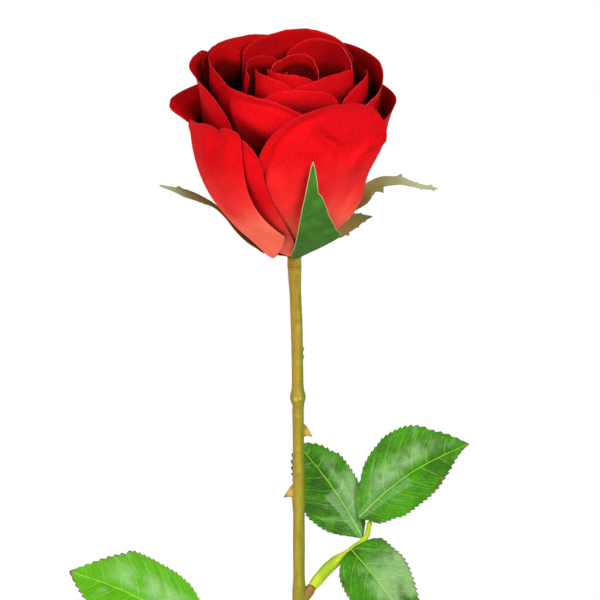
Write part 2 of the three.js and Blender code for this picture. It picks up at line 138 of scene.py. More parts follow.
def from_head(points):
    """Points of the nodding flower head, in the row frame."""
    x, y, z = np.moveaxis(points, -1, 0)
    x = x * (1 - NARROWING * bell((z - 2) / 10) * smoothstep(x / 8))
    cos, sin = math.cos(HEAD_NOD), math.sin(HEAD_NOD)
    return np.stack([x, y * cos - z * sin, y * sin + z * cos], -1) + HEAD


# -------- meshes

CUT_THINNESS = 0.55  # a cut edge's share of the cloth's thickness
CUT_REACH = 1.5  # how far from its edge the cloth is thinner
OUTER, INNER, CUT = 0, 1, 2  # material places of a sheet's outer face, inner face and cut edge
END_SIDES = 20  # a face with this many sides is the flat end of a bar


def placed(name, data):
    """A new object in the scene."""
    made = bpy.data.objects.new(name, data)
    bpy.context.scene.collection.objects.link(made)
    return made


def piece(name, mesh, materials, node):
    """A finished piece that stands for the CAD node."""
    made = placed(name, mesh)
    for material in materials:
        mesh.materials.append(material)
    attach(made, "root")
    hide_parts(node)


def mesh_of(name, points, faces):
    mesh = bpy.data.meshes.new(name)
    mesh.from_pydata((np.asarray(points) * MM).tolist(), [], faces)
    return mesh


def mesh_from(shape, name):
    """The mesh of a finished bmesh."""
    mesh = bpy.data.meshes.new(name)
    shape.to_mesh(mesh)
    shape.free()
    return mesh


def add_attribute(mesh, name, kind, values):
    """Gives both faces of a sheet the values, one for each point of its grid."""
    key = "vector" if kind == "FLOAT_VECTOR" else "value"
    both = np.concatenate([values, values]).astype(np.float32)
    mesh.attributes.new(name, kind, "POINT").data.foreach_set(key, both.ravel())


def normals_of(grid):
    across = np.gradient(grid, axis=1)
    along = np.gradient(grid, axis=0)
    return unit(np.cross(across, along))


def sheet_mesh(name, grid, thickness, edge, cloth):
    """A closed sheet over the grid of points [row, column], thinner where edge, the distance from its edge,
    is small. cloth, three numbers a point, goes to the material as an attribute."""
    rows, columns = grid.shape[:2]
    thinning = CUT_THINNESS + (1 - CUT_THINNESS) * smoothstep(edge / CUT_REACH)
    half = normals_of(grid) * (thickness / 2 * thinning)[..., None]
    points = np.concatenate([(grid + half).reshape(-1, 3), (grid - half).reshape(-1, 3)])
    under = rows * columns
    at = np.arange(under).reshape(rows, columns)
    outer = np.stack([at[:-1, :-1], at[:-1, 1:], at[1:, 1:], at[1:, :-1]], -1).reshape(-1, 4)
    inner = outer[:, ::-1] + under
    border = np.concatenate([at[0, :-1], at[:-1, -1], at[-1, :0:-1], at[:0:-1, 0]])
    following = np.roll(border, -1)
    cut = np.stack([border, border + under, following + under, following], -1)
    faces = np.concatenate([outer, inner, cut])
    mesh = mesh_of(name, points, faces.tolist())
    places = np.repeat((OUTER, INNER, CUT), [len(outer), len(inner), len(cut)])
    mesh.polygons.foreach_set("material_index", places)
    mesh.polygons.foreach_set("use_smooth", places != CUT)
    add_attribute(mesh, "cloth", "FLOAT_VECTOR", cloth.reshape(-1, 3))
    return mesh


def bar_grid(path, radii, sides, bulge):
    """Rings of points round a path that lies close to the XZ plane. bulge(angle, row) is added to the radius,
    with the angle counted from the right towards the back."""
    path = np.asarray(path, float)
    tangent = unit(np.gradient(path, axis=0))
    across = unit(np.cross([0, 1, 0], tangent))
    back = unit(np.cross(tangent, across))
    angle = round_angles(sides)
    radius = np.asarray(radii, float)[:, None] + bulge(angle, np.arange(len(path))[:, None])
    cos = (radius * np.cos(angle))[..., None]
    sin = (radius * np.sin(angle))[..., None]
    return path[:, None] + cos * across[:, None] + sin * back[:, None]


def uneven_skin(seed, height, turns, pitch):
    """A bulge for bar_grid that makes a bar slightly uneven."""
    return lambda angle, row: height * rumple(seed, turns * np.cos(angle), turns * np.sin(angle), row / pitch)


def smooth_sides(mesh):
    """Smooth shading everywhere but on the flat ends of bars."""
    mesh.polygons.foreach_set("use_smooth", [face.loop_total < END_SIDES for face in mesh.polygons])
    return mesh


def bar_mesh(name, grid):
    """A closed bar over the rings of points grid[ring, side]."""
    rings, sides = grid.shape[:2]
    at = np.arange(rings * sides).reshape(rings, sides)
    beside = np.roll(at, -1, axis=1)
    walls = np.stack([at[:-1], beside[:-1], beside[1:], at[1:]], -1).reshape(-1, 4).tolist()
    ends = [at[0, ::-1].tolist(), at[-1].tolist()]
    return smooth_sides(mesh_of(name, grid.reshape(-1, 3), walls + ends))


def lathe_mesh(name, profile, sides):
    """The profile's [radius, height] points turned round Z. It starts and ends on the axis."""
    shape = bmesh.new()
    line = [shape.verts.new((r * MM, 0, z * MM)) for r, z in profile]
    for a, b in zip(line, line[1:]):
        shape.edges.new((a, b))
    bmesh.ops.spin(
        shape, geom=shape.verts[:] + shape.edges[:], cent=(0, 0, 0), axis=(0, 0, 1),
        angle=2 * math.pi, steps=sides, use_merge=True,
    )
    bmesh.ops.remove_doubles(shape, verts=shape.verts, dist=0.01 * MM)
    bmesh.ops.recalc_face_normals(shape, faces=shape.faces)
    for face in shape.faces:
        face.smooth = True
    return mesh_from(shape, name)


def joined_mesh(name, meshes):
    """One closed mesh from several closed ones that run into each other."""
    objects = [placed(f"{name}_{i}", mesh) for i, mesh in enumerate(meshes)]
    for other in objects[1:]:
        union = objects[0].modifiers.new("union", "BOOLEAN")
        union.operation = "UNION"
        union.solver = "EXACT"
        union.object = other
    bpy.context.view_layer.update()
    graph = bpy.context.evaluated_depsgraph_get()
    mesh = bpy.data.meshes.new_from_object(objects[0].evaluated_get(graph))
    for made in objects:
        bpy.data.objects.remove(made)
    mesh.name = name
    return smooth_sides(mesh)


# -------- node materials


class Paint:
    """A material's node tree: a ground colour and the layers painted over it."""

    def __init__(self, name, ground, specular=0.5, **settings):
        self.material = bpy.data.materials.new(name)
        self.material.use_nodes = True
        self.tree = self.material.node_tree
        self.shader = self.tree.nodes["Principled BSDF"]
        self.shader.inputs["Specular IOR Level"].default_value = specular
        for key, value in settings.items():
            self.shader.inputs[key.replace("_", " ").title()].default_value = value
        self.colour = (*ground, 1)
        self.place = self.node("TexCoord").outputs["Object"]  # in metres

    def node(self, kind, inputs=(), **settings):
        made = self.tree.nodes.new("ShaderNode" + kind)
        for key, value in settings.items():
            setattr(made, key, value)
        for key, value in dict(inputs).items():
            self.put(made.inputs[key], value)
        return made

    def put(self, socket, value):
        if isinstance(value, bpy.types.NodeSocket):
            self.tree.links.new(value, socket)
        else:
            socket.default_value = value

    def math(self, operation, a, b=0.0, clamp=False):
        return self.node("Math", {0: a, 1: b}, operation=operation, use_clamp=clamp).outputs[0]

    def times(self, product, *factors):
        for factor in factors:
            product = self.math("MULTIPLY", product, factor)
        return product

    def plus(self, total, *others):
        for other in others:
            total = self.math("ADD", total, other)
        return total

    def ramp(self, value, low, high):
        """0 below low, 1 above high, and smooth between. low may be the greater one."""
        inputs = {"Value": value, "From Min": low, "From Max": high}
        return self.node("MapRange", inputs, interpolation_type="SMOOTHSTEP").outputs[0]

    def taper(self, value, end, first, last):
        """From first, where the value is 0, evenly to last, where it is end."""
        inputs = {"Value": value, "From Max": end, "To Min": first, "To Max": last}
        return self.node("MapRange", inputs).outputs[0]

    def parts(self, vector):
        """The three numbers of a vector."""
        return self.node("SeparateXYZ", {"Vector": vector}).outputs

    def cloth(self):
        """The three numbers that the mesh gives for each point of the cloth."""
        return self.parts(self.node("Attribute", attribute_name="cloth").outputs["Vector"])

    def noise(self, scale, detail=3.0, stretch=None, place=None):
        place = place or self.place
        if stretch:
            place = self.node("Mapping", {"Vector": place, "Scale": stretch}).outputs[0]
        inputs = {"Vector": place, "Scale": scale, "Detail": detail, "Roughness": 0.55}
        return self.node("TexNoise", inputs).outputs[0]

    def patches(self, scale, low, high, **noise):
        """A mask that is 0 where a noise is below low and 1 where it is above high."""
        return self.ramp(self.noise(scale, **noise), low, high)

    def rib(self, value, pitch):
        """A wave from 0 to 1 with that pitch."""
        wave = self.math("SINE", self.times(value, 2 * math.pi / pitch))
        return self.plus(self.times(wave, 0.5), 0.5)

    def cover(self, colour, *masks):
        """Paints the colour over what is there, as strongly as the product of the masks says."""
        inputs = {0: self.times(*masks), 6: self.colour, 7: (*colour, 1)}
        self.colour = self.node("Mix", inputs, data_type="RGBA").outputs[2]

    def bump(self, height, distance, strength=0.6):
        """Roughens the surface by up to the distance, in mm."""
        inputs = {"Height": height, "Distance": distance * MM, "Strength": strength}
        self.put(self.shader.inputs["Normal"], self.node("Bump", inputs).outputs[0])

    def finish(self, roughness):
        self.put(self.shader.inputs["Base Color"], self.colour)
        self.put(self.shader.inputs["Roughness"], roughness)
        return self.material


# -------- materials

SALMON = (0.86, 0.14, 0.085)
PALE_RED = (0.70, 0.024, 0.021)
ROSE_RED = (0.51, 0.001, 0.004)
DEEP_RED = (0.075, 0.0001, 0.0004)
PAINTED_HOLLOW_SHADE = (0.008, 0.0001, 0.0001)
PETAL_FRAY = (0.56, 0.08, 0.09)
SEPAL_OUT = (0.016, 0.100, 0.003)
SEPAL_LIGHT = (0.028, 0.145, 0.007)
SEPAL_IN = (0.19, 0.165, 0.06)
SEPAL_KHAKI = (0.36, 0.36, 0.23)
SEPAL_BROWN = (0.20, 0.088, 0.014)
SEPAL_EDGE = (0.42, 0.38, 0.18)
SEPAL_FRAY = (0.50, 0.47, 0.26)
LEAF_DARK = (0.007, 0.066, 0.0002)
LEAF_MID = (0.026, 0.165, 0.0008)
PAINTED_LEAF_SHEEN = (0.24, 0.38, 0.17)
LEAF_FILM_AND_SHEEN = (0.18, 0.32, 0.14)
LEAF_LIME = (0.11, 0.42, 0.006)
LEAF_UNDER = (0.08, 0.20, 0.035)
LEAF_UNDER_LIGHT = (0.11, 0.26, 0.055)
LEAF_VEIN = (0.26, 0.45, 0.04)
LEAF_EDGE = (0.07, 0.13, 0.02)
LEAF_BROWN = (0.15, 0.075, 0.04)
STEM_KHAKI = (0.24, 0.19, 0.006)
STEM_OLIVE = (0.15, 0.125, 0.003)
STEM_BROWN = (0.20, 0.082, 0.014)
STEM_RUST = (0.27, 0.125, 0.004)
STEM_GREEN = (0.105, 0.15, 0.003)
STEM_DARK = (0.07, 0.05, 0.002)
STEM_STRAW = (0.38, 0.30, 0.035)
THORN_STRAW = (0.40, 0.265, 0.04)
STALK_LIME = (0.20, 0.32, 0.004)
STALK_YELLOW = (0.32, 0.40, 0.005)
GLAZE = (0.87, 0.855, 0.82)
GLAZE_SHADE = (0.80, 0.79, 0.745)
CLAY = (0.62, 0.52, 0.40)
PAPER = (0.93, 0.93, 0.93)

# From thread to thread, across and along the cloth
PETAL_WARP, PETAL_WEFT = 0.8, 0.7
SEPAL_WARP, SEPAL_WEFT = 0.7, 0.6


def petal_material(name, painted_shade, start, end):
    """Red cloth, salmon at the root, darkened with painted shade. painted_shade is how much darker the
    painted shade makes it at the rim, from 0 to 1. Painted shade darkens it further from start to end, in mm
    from the rim, and to near black beyond, in the hollows between the petals."""
    paint = Paint(name, SALMON, specular=0.03)
    across, along, from_rim = paint.cloth()
    drift = paint.times(paint.math("SUBTRACT", paint.noise(45, detail=2), 0.5), 18)
    height = paint.plus(along, drift)
    paint.cover(PALE_RED, paint.ramp(height, 15, 36))
    paint.cover(ROSE_RED, paint.ramp(height, 27, 54))
    # Painted shade: darker by painted_shade, with random mottling, and more from start to end below the rim.
    deep = paint.math("ADD", paint.times(paint.patches(90, 0.35, 0.7), 0.12), painted_shade, clamp=True)
    paint.cover(DEEP_RED, paint.math("MAXIMUM", deep, paint.ramp(from_rim, start, end)))
    # Painted shade, near black, deep in the hollows between the petals.
    paint.cover(PAINTED_HOLLOW_SHADE, paint.ramp(from_rim, end, 2 * end))
    uneven = paint.times(paint.noise(700, detail=1), 1.5)
    warp = paint.rib(paint.plus(across, uneven), PETAL_WARP)
    weft = paint.rib(paint.plus(along, uneven), PETAL_WEFT)
    paint.cover(PALE_RED, warp, weft, 0.22)
    paint.cover(DEEP_RED, paint.patches(800, 0.5, 0.7), 0.16)
    lint = paint.noise(2600, detail=2)
    paint.bump(paint.plus(warp, weft, lint), 0.05)
    return paint.finish(0.8)


def cut_material(name, colour, fray):
    """The raw edge of cut cloth, lighter where threads stand out."""
    paint = Paint(name, colour)
    paint.cover(fray, paint.patches(900, 0.42, 0.75))
    return paint.finish(0.9)


def outer_sepal_material():
    """The outside of a sepal: uneven green with a paler rim."""
    paint = Paint("sepal_outside", SEPAL_OUT, specular=0.1)
    across, along, edge = paint.cloth()
    paint.cover(SEPAL_LIGHT, paint.patches(160, 0.4, 0.65))
    warp = paint.rib(across, SEPAL_WARP)
    weft = paint.rib(along, SEPAL_WEFT)
    paint.cover(SEPAL_EDGE, warp, weft, 0.16)
    paint.cover(SEPAL_EDGE, paint.ramp(edge, 0.35, 0.05))
    paint.bump(paint.plus(warp, weft), 0.08)
    return paint.finish(0.8)


def inner_sepal_material():
    """The inside of a sepal: brown at the root and pale khaki at the tip."""
    paint = Paint("sepal_inside", SEPAL_BROWN, specular=0.15)
    across, along, _ = paint.cloth()
    paint.cover(SEPAL_IN, paint.ramp(along, 33, 55))
    paint.cover(SEPAL_KHAKI, paint.ramp(along, 46, 66))
    paint.cover(SEPAL_OUT, paint.noise(200), 0.5)
    warp = paint.rib(across, SEPAL_WARP)
    weft = paint.rib(along, SEPAL_WEFT)
    paint.cover(SEPAL_EDGE, warp, 0.25)
    paint.bump(paint.plus(warp, weft), 0.08)
    return paint.finish(0.8)


def leaf_painted_sheen(paint, sheen, share, across, veins):
    """A mask of painted sheen: pale streaks between the side veins, and the leaflet's pale band."""
    along_veins = paint.node("CombineXYZ", {0: veins, 1: paint.times(across, 0.09), 2: share}).outputs[0]
    streaks = paint.patches(1.3, 0.56, 0.86, detail=2, place=along_veins)
    streaks = paint.times(streaks, paint.ramp(paint.math("ABSOLUTE", across), 0.5, 4))
    side, near, far, start, end = sheen
    aside = paint.times(across, side)
    band = paint.times(
        paint.ramp(aside, near, near + 3.5), paint.ramp(aside, far, far - 6),
        paint.times(paint.ramp(share, start, start + 0.2), paint.ramp(share, end, end - 0.25)),
        paint.patches(110, 0.27, 0.52, detail=2),
    )
    return paint.math("MAXIMUM", streaks, band)


def paint_veins(paint, share, distance, veins, edge):
    """Side veins, finer ones that fork between them, and the midrib."""
    between = paint.math("PINGPONG", veins, 0.5)
    paint.cover(LEAF_VEIN, paint.ramp(between, 0.024, 0.009), paint.ramp(edge, 0.5, 5.0), 0.55)
    bent = paint.plus(paint.times(veins, 2.0), paint.times(distance, -0.07))
    fork = paint.ramp(paint.math("PINGPONG", bent, 0.5), 0.035, 0.012)
    paint.cover(LEAF_VEIN, fork, paint.ramp(distance, 4.0, 7.0), paint.ramp(edge, 0.5, 3.0), 0.35)
    width = paint.taper(share, 1, 0.3, 0.1)
    paint.cover(LEAF_VEIN, paint.math("LESS_THAN", distance, width), 0.85)


def leaf_material(leaf):
    """Coated leaf cloth. The cloth's numbers are the distance from the midrib, the place among the side
    veins, where each whole number is a vein, and the distance from the margin. The attribute share is the
    share of the leaflet's length."""
    paint = Paint(leaf["name"] + "_face", LEAF_DARK, specular=0.08)
    across, veins, edge = paint.cloth()
    share = paint.node("Attribute", attribute_name="share").outputs["Fac"]
    distance = paint.math("ABSOLUTE", across)
    paint.cover(LEAF_MID, paint.patches(95, 0.36, 0.62, detail=4))
    paint.cover(LEAF_LIME, leaf["light"])
    # Painted sheen: pale streaks along the side veins and a pale band beside the midrib.
    paint.cover(PAINTED_LEAF_SHEEN, leaf_painted_sheen(paint, leaf["sheen"], share, across, veins), 0.58)
    outside = paint.math("SUBTRACT", distance, paint.taper(share, 0.5, 1.6, 5.2))
    # The pale wedge by the midrib at the foot: the leaf's clear film, lightened with painted sheen.
    paint.cover(LEAF_FILM_AND_SHEEN, paint.ramp(share, 0.5, 0.46), paint.ramp(outside, 0.2, -0.2), leaf["wedge"])
    inputs = {"Vector": paint.place, "Scale": 1250.0}
    cells = paint.node("TexVoronoi", inputs, feature="DISTANCE_TO_EDGE").outputs[0]
    paint.cover(LEAF_DARK, paint.ramp(cells, 0.1, 0.3), 0.25)
    paint.cover(LEAF_VEIN, paint.ramp(cells, 0.1, 0.02), 0.12)
    paint_veins(paint, share, distance, veins, edge)
    rust = paint.times(paint.ramp(edge, 0.9, 0.1), paint.patches(70, 0.5, 0.62))
    paint.cover(LEAF_BROWN, paint.math("MAXIMUM", rust, paint.ramp(share, 0.965, 0.995)))
    paint.bump(paint.plus(paint.ramp(cells, 0.0, 0.15), paint.times(paint.noise(900), 1.5)), 0.1)
    return paint.finish(paint.plus(paint.times(paint.noise(130), 0.2), 0.36))


def leaf_underside():
    paint = Paint("leaf_underside", LEAF_UNDER)
    across, veins, _ = paint.cloth()
    paint.cover(LEAF_UNDER_LIGHT, paint.patches(120, 0.4, 0.6))
    paint.cover(LEAF_VEIN, paint.ramp(paint.math("PINGPONG", veins, 0.5), 0.06, 0.02), 0.6)
    paint.cover(LEAF_VEIN, paint.math("LESS_THAN", paint.math("ABSOLUTE", across), 0.4), 0.8)
    paint.bump(paint.noise(900), 0.1, 0.5)
    return paint.finish(0.6)


def stem_material():
    """Moulded olive plastic, streaked along, browner on its left and greener on its right, with rusty thorns
    and sockets."""
    paint = Paint("stem_plastic", STEM_KHAKI, specular=0.25)
    x, _, z = paint.parts(paint.place)
    grain = paint.noise(600, detail=4, stretch=(1, 1, 0.1))
    rings = paint.noise(420, stretch=(0.15, 0.15, 1))
    paint.cover(STEM_OLIVE, paint.ramp(grain, 0.3, 0.75))
    paint.cover(STEM_STRAW, paint.ramp(rings, 0.48, 0.68), 0.3)
    paint.cover(STEM_RUST, paint.ramp(x, 0.0066, 0.0046), paint.ramp(z, 0.20, 0.24), 0.6)
    paint.cover(STEM_GREEN, paint.ramp(x, 0.0068, 0.0084), paint.ramp(grain, 0.2, 0.5), 0.75)
    paint.cover(STEM_BROWN, paint.patches(900, 0.55, 0.7, stretch=(1, 1, 0.05)), 0.35)
    paint.cover(STEM_BROWN, paint.patches(170, 0.57, 0.7, detail=4), 0.5)
    paint.cover(STEM_DARK, paint.patches(1100, 0.64, 0.72, detail=2, stretch=(0.5, 0.5, 1)), 0.5)
    for middle, radius, shade in RUSTY:
        inputs = {0: paint.place, 1: [v * MM for v in middle]}
        away = paint.node("VectorMath", inputs, operation="DISTANCE").outputs["Value"]
        paint.cover(shade, paint.ramp(away, radius * MM, 0.45 * radius * MM), 0.8)
    paint.bump(paint.plus(rings, paint.noise(1500), grain), 0.16)
    return paint.finish(paint.plus(paint.times(grain, 0.3), 0.3))


def stalk_material():
    paint = Paint("stalk_plastic", STALK_LIME, specular=0.25)
    paint.cover(STALK_YELLOW, paint.patches(130, 0.4, 0.62))
    paint.cover(STEM_OLIVE, paint.patches(420, 0.55, 0.75), 0.35)
    paint.bump(paint.noise(900), 0.15, 0.5)
    return paint.finish(0.4)


def glaze_material():
    """Off-white satin glaze, thin and warm at the lip and the foot, with a few tiny iron specks."""
    paint = Paint("vase_glaze", GLAZE, coat_weight=0.3, coat_roughness=0.12)
    z = paint.parts(paint.place)[2]
    paint.cover(GLAZE_SHADE, paint.patches(26, 0.35, 0.7), 0.35)
    lip = paint.ramp(z, (VASE_HEIGHT - 3) * MM, VASE_HEIGHT * MM)
    foot = paint.ramp(z, 5 * MM, 1 * MM)
    paint.cover(CLAY, paint.math("MAXIMUM", lip, foot), 0.55)
    specks = paint.node("TexVoronoi", {"Vector": paint.place, "Scale": 170.0}).outputs["Distance"]
    paint.cover(CLAY, paint.ramp(specks, 0.07, 0.03), 0.5)
    paint.bump(paint.noise(45, detail=2), 0.6, 0.35)
    return paint.finish(paint.plus(paint.times(paint.noise(70), 0.14), 0.14))


# -------- flower head: shells

BELLY_Z = 55
BELLY_RADIUS = 40.5
SHELL_FOOT_RADIUS = 3.4


def shell_radius(z):
    """The outermost shell, as in the CAD model: a tulip, widest at BELLY_Z."""
    rise = (np.maximum(0, z) / BELLY_Z) ** 0.8
    low = SHELL_FOOT_RADIUS + (BELLY_RADIUS - SHELL_FOOT_RADIUS) * np.sin(np.pi / 2 * np.minimum(rise, 1))
    high = BELLY_RADIUS - 5.5 * ((z - BELLY_Z) / 30) ** 2
    return np.where(z > BELLY_Z, high, low)


def flattened(angle, z, share=0.16, middle=38):
    """The head is a little flat on its right side."""
    return 1 - share * np.maximum(0, np.cos(angle)) ** 2 * bell((z - middle) / 13.5)


def meridian(depth, top, rim, root):
    """The line from the peg to the rim, as arrays of length along it, radius and height."""
    scan = np.arange(depth, 60, 0.02)
    bottom = scan[np.argmax(shell_radius(scan - depth) - depth >= root)]
    z = bottom + (top - bottom) * np.linspace(0, 1, 200) ** 1.5
    plain = shell_radius(z - depth) - depth
    offset = rim - (shell_radius(np.array(top - depth)) - depth)
    x = (z - bottom) / (top - bottom)
    radius = plain + offset * (1 - (1 - x) ** 2 if offset < 0 else x ** 7)
    steps = np.hypot(np.diff(radius), np.diff(z))
    return np.concatenate([[0], np.cumsum(steps)]), radius, z


# -------- flower head: petals


@dataclass
class Petal:
    """A petal's measures in mm. The places on it are u, from -1 to 1 towards the greater azimuth, and v,
    from 0 at its foot to 1 at its rim."""

    azimuth: float  # degrees
    span: float  # half its width
    depth: float  # how far it lies under the outermost shell
    top: float  # height of its rim
    rim: float  # radius of its rim
    round: float  # how far its corners lie lower, as a share of its length
    tilt: float = 0  # how much higher the rim is at u = 1, as such a share
    root: float = PEG_RADIUS + 0.6  # radius of its foot
    foot: float = 3  # half its width at the foot
    full: float = 0.55  # share of its length where it reaches its full width
    flare: float = 0  # how far its tip turns out
    lean: float = 0  # above 0, the flare lies more towards u = 1
    twist: float = 0  # how far its side at u = 1 turns out
    swell: float = 0  # how far its upper middle stands out
    curl: float = 0  # how far its last few millimetres roll outward
    wave: float = 0  # how far its rim waves in and out
    folds: list = ()  # creases pressed into it: (points as (u, v), width, height), height above 0 outward
    nicks: list = ()  # dips of its rim: (u, width, depth)
    heel: float = 0  # how far its foot is cut back at u = 1
    kick: float = 0  # how far its foot stands off
    veer: float = 0  # how many degrees its foot lies aside
    reach: float = 0  # how many more its foot's corner at u = 1 does
    blush: float = 1  # above 1, more of its root is salmon
    fine: int = 1  # how many times finer its mesh is
    shade: str = ""  # the name of its painted shading, when it isn't its ring's


A_WRINKLE = [(0.78, 0.862), (0.51, 0.775), (0.36, 0.729), (0.33, 0.679), (0.38, 0.637)]
A_SECOND_WRINKLE = [(0.89, 0.904), (0.65, 0.771), (0.5, 0.708), (0.49, 0.662)]
A_VALLEY = [(-0.23, 0.879), (-0.07, 0.817), (0.08, 0.775), (0.14, 0.72)]
# The first six numbers are azimuth, span, depth, top, rim and round. Most petals differ in some of them
# from the CAD model.
PETALS = {
    "outer": [
        Petal(209, 22, 0, 70.5, 43, 0.1, flare=2.5, swell=0.6, root=10.9, foot=14.5, full=0.8, heel=21,
            veer=15, reach=46, kick=1.5,
            nicks=[(-0.4, 0.75, 6.7), (-1, 0.3, 5), (0.5, 0.16, 2.2), (0.5, 0.05, 2)], curl=0.6, wave=0.3,
            folds=[([(0.53, 1.04), (0.5, 0.95), (0.36, 0.871), (0.26, 0.783), (0.2, 0.66)], 3.2, -1.7),
            ([(0.82, 0.98), (0.68, 0.86), (0.56, 0.72)], 3.2, 1.1),
            ([(0.05, 0.97), (0.0, 0.86), (-0.06, 0.74)], 4.0, 0.7),
            ([(-0.5, 0.3), (-0.45, 0.5), (-0.38, 0.7)], 3.0, -0.6)]),
        Petal(225, 18, 1.3, 65, 40.3, 0.25, tilt=0.04, root=4.5, foot=2.5, veer=18, curl=0.5, wave=0.15,
            folds=[([(0.2, 0.9), (0.5, 0.7), (0.62, 0.45)], 2.5, -0.7)]),
        Petal(294, 30.5, 2, 79.5, 40.5, 0.34, flare=0.5, fine=2, blush=1.3, curl=1.1, wave=0.35,
            folds=[(A_WRINKLE, 1.5, 2.7), ([(u + 0.08, v - 0.013) for u, v in A_WRINKLE], 1.1, -0.8),
            (A_SECOND_WRINKLE, 1.4, 2.3), ([(u + 0.075, v - 0.012) for u, v in A_SECOND_WRINKLE], 1, -0.8),
            (A_VALLEY, 2.4, -3), ([(0.05, 0.93), (0.2, 0.86), (0.3, 0.8)], 3.5, 0.9),
            ([(-0.98, 0.76), (-0.87, 0.88), (-0.6, 0.93), (-0.2, 0.945)], 2.4, -1.6),
            ([(-0.6, 0.9), (-0.35, 0.8), (-0.3, 0.65)], 4.0, 0.5),
            ([(0.75, 0.6), (0.5, 0.5), (0.42, 0.38)], 2.2, -0.8),
            ([(0.9, 0.72), (0.72, 0.6), (0.66, 0.5)], 1.6, 0.8)]),
        Petal(361, 23.2, 3, 68, 37.5, 0.07, tilt=0.04, flare=2.8, swell=-0.4, curl=0.4, wave=0.2),
        Petal(66, 26.5, 4, 69, 39, 0.25, flare=4, twist=0.5, curl=0.9, wave=0.5),
        Petal(111, 26, 1.5, 67, 43.5, 0.25, flare=3, curl=1.0, wave=0.5),
        Petal(163, 23.5, 2.4, 67, 40, 0.2, tilt=-0.03, flare=9.5, lean=1, foot=5, blush=0.15, curl=1.2,
            wave=0.3, folds=[([(-0.4, 0.93), (0.1, 0.93), (0.5, 0.94)], 1.6, -0.6)]),
    ],
    "cup": [
        Petal(183.5, 28, 5, 81.5, 40.8, 0.16, tilt=-0.07, twist=-0.3, full=0.9, curl=0.7, wave=0.25),
        Petal(239, 28.5, 6, 81.5, 35.8, 0.14, tilt=-0.03, twist=0.3, curl=0.7, wave=0.3, full=1.15,
            folds=[([(-0.6, 0.925), (-0.09, 0.95), (0.38, 0.965), (0.75, 0.965)], 0.9, -1.1),
            ([(-0.5, 0.88), (0.0, 0.86), (0.5, 0.8)], 3.0, 0.9),
            ([(-0.3, 0.8), (0.2, 0.75), (0.6, 0.66)], 2.6, -0.8)]),
        Petal(12, 33, 5, 80.5, 34.8, 0.1, tilt=0.05, curl=0.4, wave=0.3, nicks=[(-0.45, 0.35, 3.5)]),
        Petal(128, 24, 6, 83, 39, 0.08, curl=0.5, wave=0.3),
        Petal(85, 22, 8, 82, 34, 0.1, curl=0.4, wave=0.2),
    ],
    "inner": [
        Petal(166, 23, 7, 84.3, 33.2, 0.12, curl=0.4, wave=0.2,
            folds=[([(-0.8, 0.98), (-0.74, 0.8), (-0.7, 0.6)], 2.6, -1.2)]),
        Petal(91, 23, 9, 86.7, 29.4, 0.12, curl=0.2, wave=0.25, shade="open"),
        Petal(349, 19.5, 7, 79.6, 28.8, 0.1, curl=0.2, wave=0.2),
        Petal(274, 18, 8, 81.6, 27, 0.14, curl=0.4, wave=0.15, shade="tucked"),
    ],
    "bud": [
        Petal(242, 11.7, 10, 84.3, 21, 0.06, tilt=-0.03, curl=0.3, wave=0.1),
        Petal(306, 17, 9, 84.3, 23.2, 0.07, tilt=0.01, curl=0.4, wave=0.1),
        Petal(44, 22, 10, 86.2, 21.5, 0.14, curl=0.1, wave=0.15, shade="open"),
        Petal(150, 13, 11, 81.8, 18.5, 0.08, curl=0.1, wave=0.1),
        Petal(258, 13, 12, 84, 15.5, 0.06, tilt=-0.025, curl=0.3, wave=0.1),
        Petal(84, 13, 13, 83.2, 8.6, 0.1, curl=0.1, wave=0.1),
        Petal(250, 7, 14, 80.6, 6.2, 0.1, curl=0.1, wave=0.08),
    ],
}
# For each kind of petal, how much darker painted shade makes it at the rim, from 0 to 1, and the distances
# from the rim where more painted shade starts and ends to darken it: first for the outside, then for the
# inside.
PETAL_SHADES = [
    ("outer", (0.0, 900, 999), (0.12, 12, 30)),
    ("cup", (0.0, 9, 21), (0.45, 5, 15)),
    ("inner", (0.05, 5, 14), (0.25, 1.5, 8)),
    ("bud", (0.05, 4, 12), (0.3, 1, 6)),
    ("open", (0.0, 5, 16), (0.28, 5, 16)),
    ("tucked", (0.0, 1.5, 9), (0.3, 1, 6)),
]
PALE_RIMS = {"cup_petal_3", "bud_petal_3", "bud_petal_6"}

CURL_LENGTH = 5  # how much of a petal's rim rolls
KICK_LENGTH = 14  # how much of a petal's foot stands off
WAVE_RADIUS = 38
DENT_RADIUS = 35
# Where the inner petals give way behind a gap between outer ones: azimuth, height, how far, width, height and
# the depth of the outermost petal that does
DENTS = [(250, 47, 6.5, 11, 14, 5), (350, 60, 4.8, 13, 11, 5), (206, 68, 4, 9, 22, 6)]


def fold_height(folds, u, v, span, length):
    """How far the creases lift the petal at each point."""
    total = np.zeros_like(u)
    for points, width, height in folds:
        line = through([(a * span, b * length) for a, b in points], np.linspace(0, 1, 24))
        away = np.hypot(u[..., None] * span - line[:, 0], v[..., None] * length - line[:, 1])
        nearest = away.argmin(-1)
        fade = np.sin(np.pi * (0.12 + 0.76 * nearest / (len(line) - 1)))
        total += height * fade * bell(away.min(-1) / width)
    return total


def common_wave(angle, height, depth):
    """How far out all the nested petals lie together at a place on the head, so that they undulate without
    meeting. The inner ones give way behind the gap between the front petals."""
    x, y = WAVE_RADIUS * np.cos(angle), WAVE_RADIUS * np.sin(angle)
    broad = rumple(7, x / 9, y / 9, height / 16)
    fine = 0.3 * rumple(8, x / 4, y / 4, height / 8)
    total = (broad + fine) * smoothstep(height / 35)
    for azimuth, at, far, width, tall, least in DENTS:
        if depth >= least:
            away = turn_from(angle, math.radians(azimuth)) * DENT_RADIUS
            total = total - far * bell(away / width) * bell((height - at) / tall)
    return total


